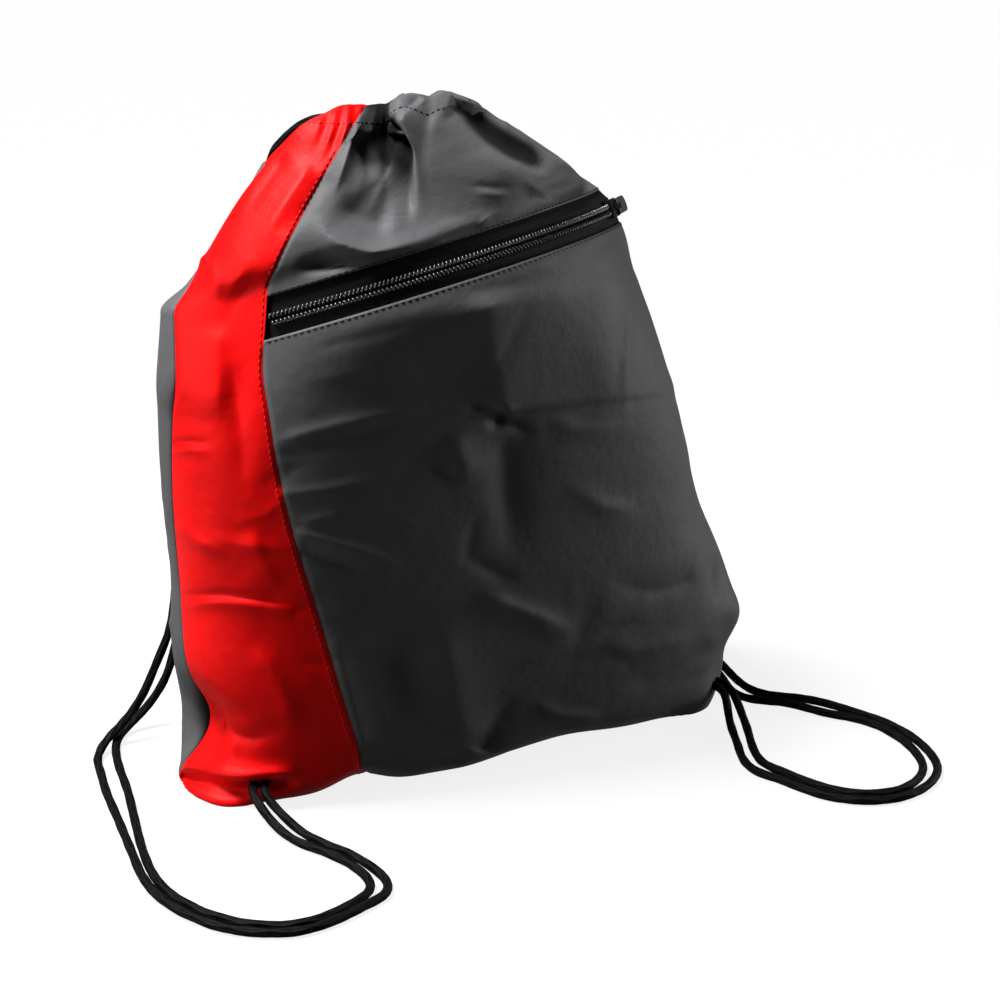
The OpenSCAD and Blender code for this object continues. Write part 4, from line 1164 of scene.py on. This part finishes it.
def cord_path(points, step=0.0009, slack=0.0045):
    """A smooth curve by way of points, spaced evenly along its length, its bends eased by a running
    mean with bell-shaped weights that keeps both ends where they are."""
    curve = smooth_path(points, 4000)
    length = np.linalg.norm(np.diff(curve, axis=0), axis=1).sum()
    path = along(curve, -1, 1, np.linspace(0, 1, int(length / step)))
    reach = int(3 * slack / step)
    bell = np.exp(-0.5 * (np.arange(-reach, reach + 1) * step / slack) ** 2)
    ends = 2 * path[0] - path[reach:0:-1], 2 * path[-1] - path[-2 : -reach - 2 : -1]
    wide = np.concatenate([ends[0], path, ends[1]])
    path = np.stack([np.convolve(wide[:, k], bell / bell.sum(), "valid") for k in range(3)], -1)
    return path, np.linalg.norm(np.diff(path, axis=0), axis=1).sum()


def braided_cord(name, path, width, sides=cord_sides):
    """A tube round a path whose radius swells over two crossing sets of strands. Its map has the
    share of a turn about the cord and the distance along it."""
    turn = np.linspace(0, 2 * np.pi, sides, endpoint=False)[None, :, None]
    far = np.r_[0, np.cumsum(np.linalg.norm(np.diff(path, axis=0), axis=1))][:, None, None]
    lay = 2 * np.pi * far / (cord_lay * width)
    swell = np.maximum(np.cos(cord_strands / 2 * turn + lay), np.cos(cord_strands / 2 * turn - lay))
    rings = tube_rings(path, width / 2 * (0.95 + 0.06 * swell), sides, [0.50, 0.45, 0.74])
    piece = tubes(name, rings[None])
    about = np.broadcast_to(np.linspace(0, 1, sides, endpoint=False), (len(path) - 1, sides))
    far = np.broadcast_to(far[:, :, 0], (len(path), sides))
    corners = np.stack(
        [
            np.stack([about, about + 1 / sides, about + 1 / sides, about], -1),
            np.stack([far[:-1], far[:-1], far[1:], far[1:]], -1),
        ],
        -1,
    ).reshape(-1, 2)
    spread = np.zeros((len(piece.data.loops), 2), np.float32)
    spread[: len(corners)] = corners
    piece.data.uv_layers.new(name="lay").data.foreach_set("uv", spread.reshape(-1))
    return piece


def cord_finish(name):
    """Black braided polyester: strands crossing in a diamond lay, with a dull sheen."""
    material, dye, shader = new_finish(name)
    _, about, far = map_runs(dye, "lay")
    about, far = about * (cord_strands / 2), far / (cord_lay * cord_width)
    crossing = dye.math("MAXIMUM", (about + far).wave(1.0), (about - far).wave(1.0))
    fibre = dye.noise(dye.node("TexCoord", {}, {}, "Object"), 2500.0)
    shade = crossing * 0.35 + fibre * 0.4
    sockets = {
        "Base Color": dye.mix(shade, (0.0012, 0.0012, 0.0014), (0.0055, 0.0055, 0.006)),
        "Normal": dye.bump(0.7, 0.0004, crossing + fibre * 0.4),
        "Roughness": 0.6,
        "Specular IOR Level": 0.06,
    }
    dye.fill(shader, sockets)
    return material


def overhand(node):
    """A tight overhand knot in a node's place: a trefoil, three lobes wide and wound over and under."""
    low, high = (np.array(corner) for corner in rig.box(node))
    turn = np.linspace(0, 2 * np.pi, 160)
    reach = ((high - low).min() / 2 - 0.45 * cord_width) / 3
    across, up = np.sin(turn) + 2 * np.sin(2 * turn), np.cos(turn) - 2 * np.cos(2 * turn)
    lobes = np.stack([reach * across, -0.5 * cord_width * np.sin(3 * turn), reach * up], -1)
    return (low + high) / 2 + lobes


cord_black = cord_finish("cord_black")
left_hole, right_hole = corner_hole(left_share), corner_hole(right_share)
for name, inner, outer, hole, sides, run in (
    ("left", left_inner, left_outer, left_hole, (-1, 1), hem_run(0.80, 0.12, 0.84)),
    ("right", right_inner, right_outer, right_hole, (1, -1), hem_run(0.46, 0.83, 0.10)),
):
    start, finish = corner_end(hole, sides[0]), corner_end(hole, sides[1])
    points = start[::-1] + [np.array(p) / 1000 for p in inner[::-1]] + run
    points += [np.array(p) / 1000 for p in outer] + finish
    path, length = cord_path(points)
    drawcord = braided_cord(name + "_drawcord", path, cord_width)
    drawcord.data.materials.append(cord_black)
    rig.ride(drawcord, "bag")
    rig.slot(drawcord, "cord")
    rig.replaces(drawcord, name + "_cord_hem", name + "_strap_outer", name + "_strap_inner")
    knot = braided_cord(name + "_stop_knot", overhand(name + "_knot"), 0.85 * cord_width)
    knot.data.materials.append(cord_black)
    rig.ride(knot, "bag")
    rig.slot(knot, "cord")
    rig.replaces(knot, name + "_knot")
    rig.cord(
        drawcord, exit=tuple(hole[0]), length=round(float(length), 3), diameter=cord_width, far_end="object",
        stiffness="limp", lay="loose", path=path[::6].tolist() + [path[-1].tolist()], with_pieces=[knot],
    )

# Floor. One pale sheet that runs far behind the bag and makes the backdrop too. It shows near
# white to the camera, sends little light back at the bag, and keeps the bag's shadow.
floor_half = 80
floor_mesh = bpy.data.meshes.new("floor")
floor_corners = [(floor_half * x, floor_half * y, 0) for x, y in ((-1, -1), (1, -1), (1, 1), (-1, 1))]
floor_mesh.from_pydata(floor_corners, [], [(0, 1, 2, 3)])
floor = set_out("floor", floor_mesh)
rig.stage(floor)
floor_white, dye, shader = new_finish("floor_white")
camera_ray, glossy_ray, passed_ray = (
    dye.node("LightPath", {}, {}, "Is %s Ray" % ray) for ray in ("Camera", "Glossy", "Transmission")
)
colour = dye.mix(camera_ray, (0.05, 0.05, 0.05), (0.8, 0.8, 0.8))
dye.fill(shader, {"Base Color": colour, "Roughness": 0.7})
seen_ray = dye.math("MAXIMUM", dye.math("MAXIMUM", camera_ray, passed_ray), glossy_ray * 0.25)
place = dye.node("TexCoord", {}, {}, "Object")
far = dye.node("VectorMath", {"operation": "LENGTH"}, {0: place}, "Value")
# The share of white glow: 0.84 under the bag, and 0.99 from 0.7 m away
nearness = {0: far, 1: 0.2, 2: 0.7, 3: 0.84, 4: 0.99}
white = dye.node("MapRange", {"interpolation_type": "SMOOTHSTEP"}, nearness)
glow = dye.node("Emission", {}, {"Color": (1, 1, 1, 1), "Strength": 1.0})
plain = Dye(dye.tree, shader.outputs[0])
lit = dye.node("MixShader", {}, {0: seen_ray * white, 1: plain, 2: glow})
dye.fill(dye.tree.nodes["Material Output"], {"Surface": lit})
floor_mesh.materials.append(floor_white)

# Lights. A soft box above the bag, to the left and a little behind it, a weak one at each side, and
# a faint white sky.
sky_light = 0.03
world = bpy.data.worlds.new("studio")
bpy.context.scene.world = world
world.use_nodes = True
sky = world.node_tree.nodes["Background"].inputs
sky["Color"].default_value, sky["Strength"].default_value = (1, 1, 1, 1), sky_light


def soft_box(name, place, target, size, power):
    """A flat studio light of the given width and height, turned to face a point."""
    lamp = set_out(name, bpy.data.lights.new(name, "AREA"))
    lamp.data.shape, lamp.data.size, lamp.data.size_y, lamp.data.energy = "RECTANGLE", *size, power
    lamp.matrix_world = (Vector(place) - Vector(target)).to_track_quat("Z", "Y").to_matrix().to_4x4()
    lamp.location = place


soft_box("key_light", (-0.62, 0.20, 1.50), (0, 0, 0.2), (0.5, 0.5), 68)
soft_box("left_light", (-1.40, 0.05, 0.40), (0, 0, 0.15), (0.5, 0.8), 9)
soft_box("right_light", (1.40, -0.30, 0.35), (0, 0, 0.15), (0.5, 0.7), 15)

bpy.context.scene.view_settings.view_transform = "Standard"
low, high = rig.bounds()
boxes = {"cad": [list(cad_low), list(cad_high)], "visual": [list(low), list(high)]}
json.dump(boxes, open("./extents.json", "w"))
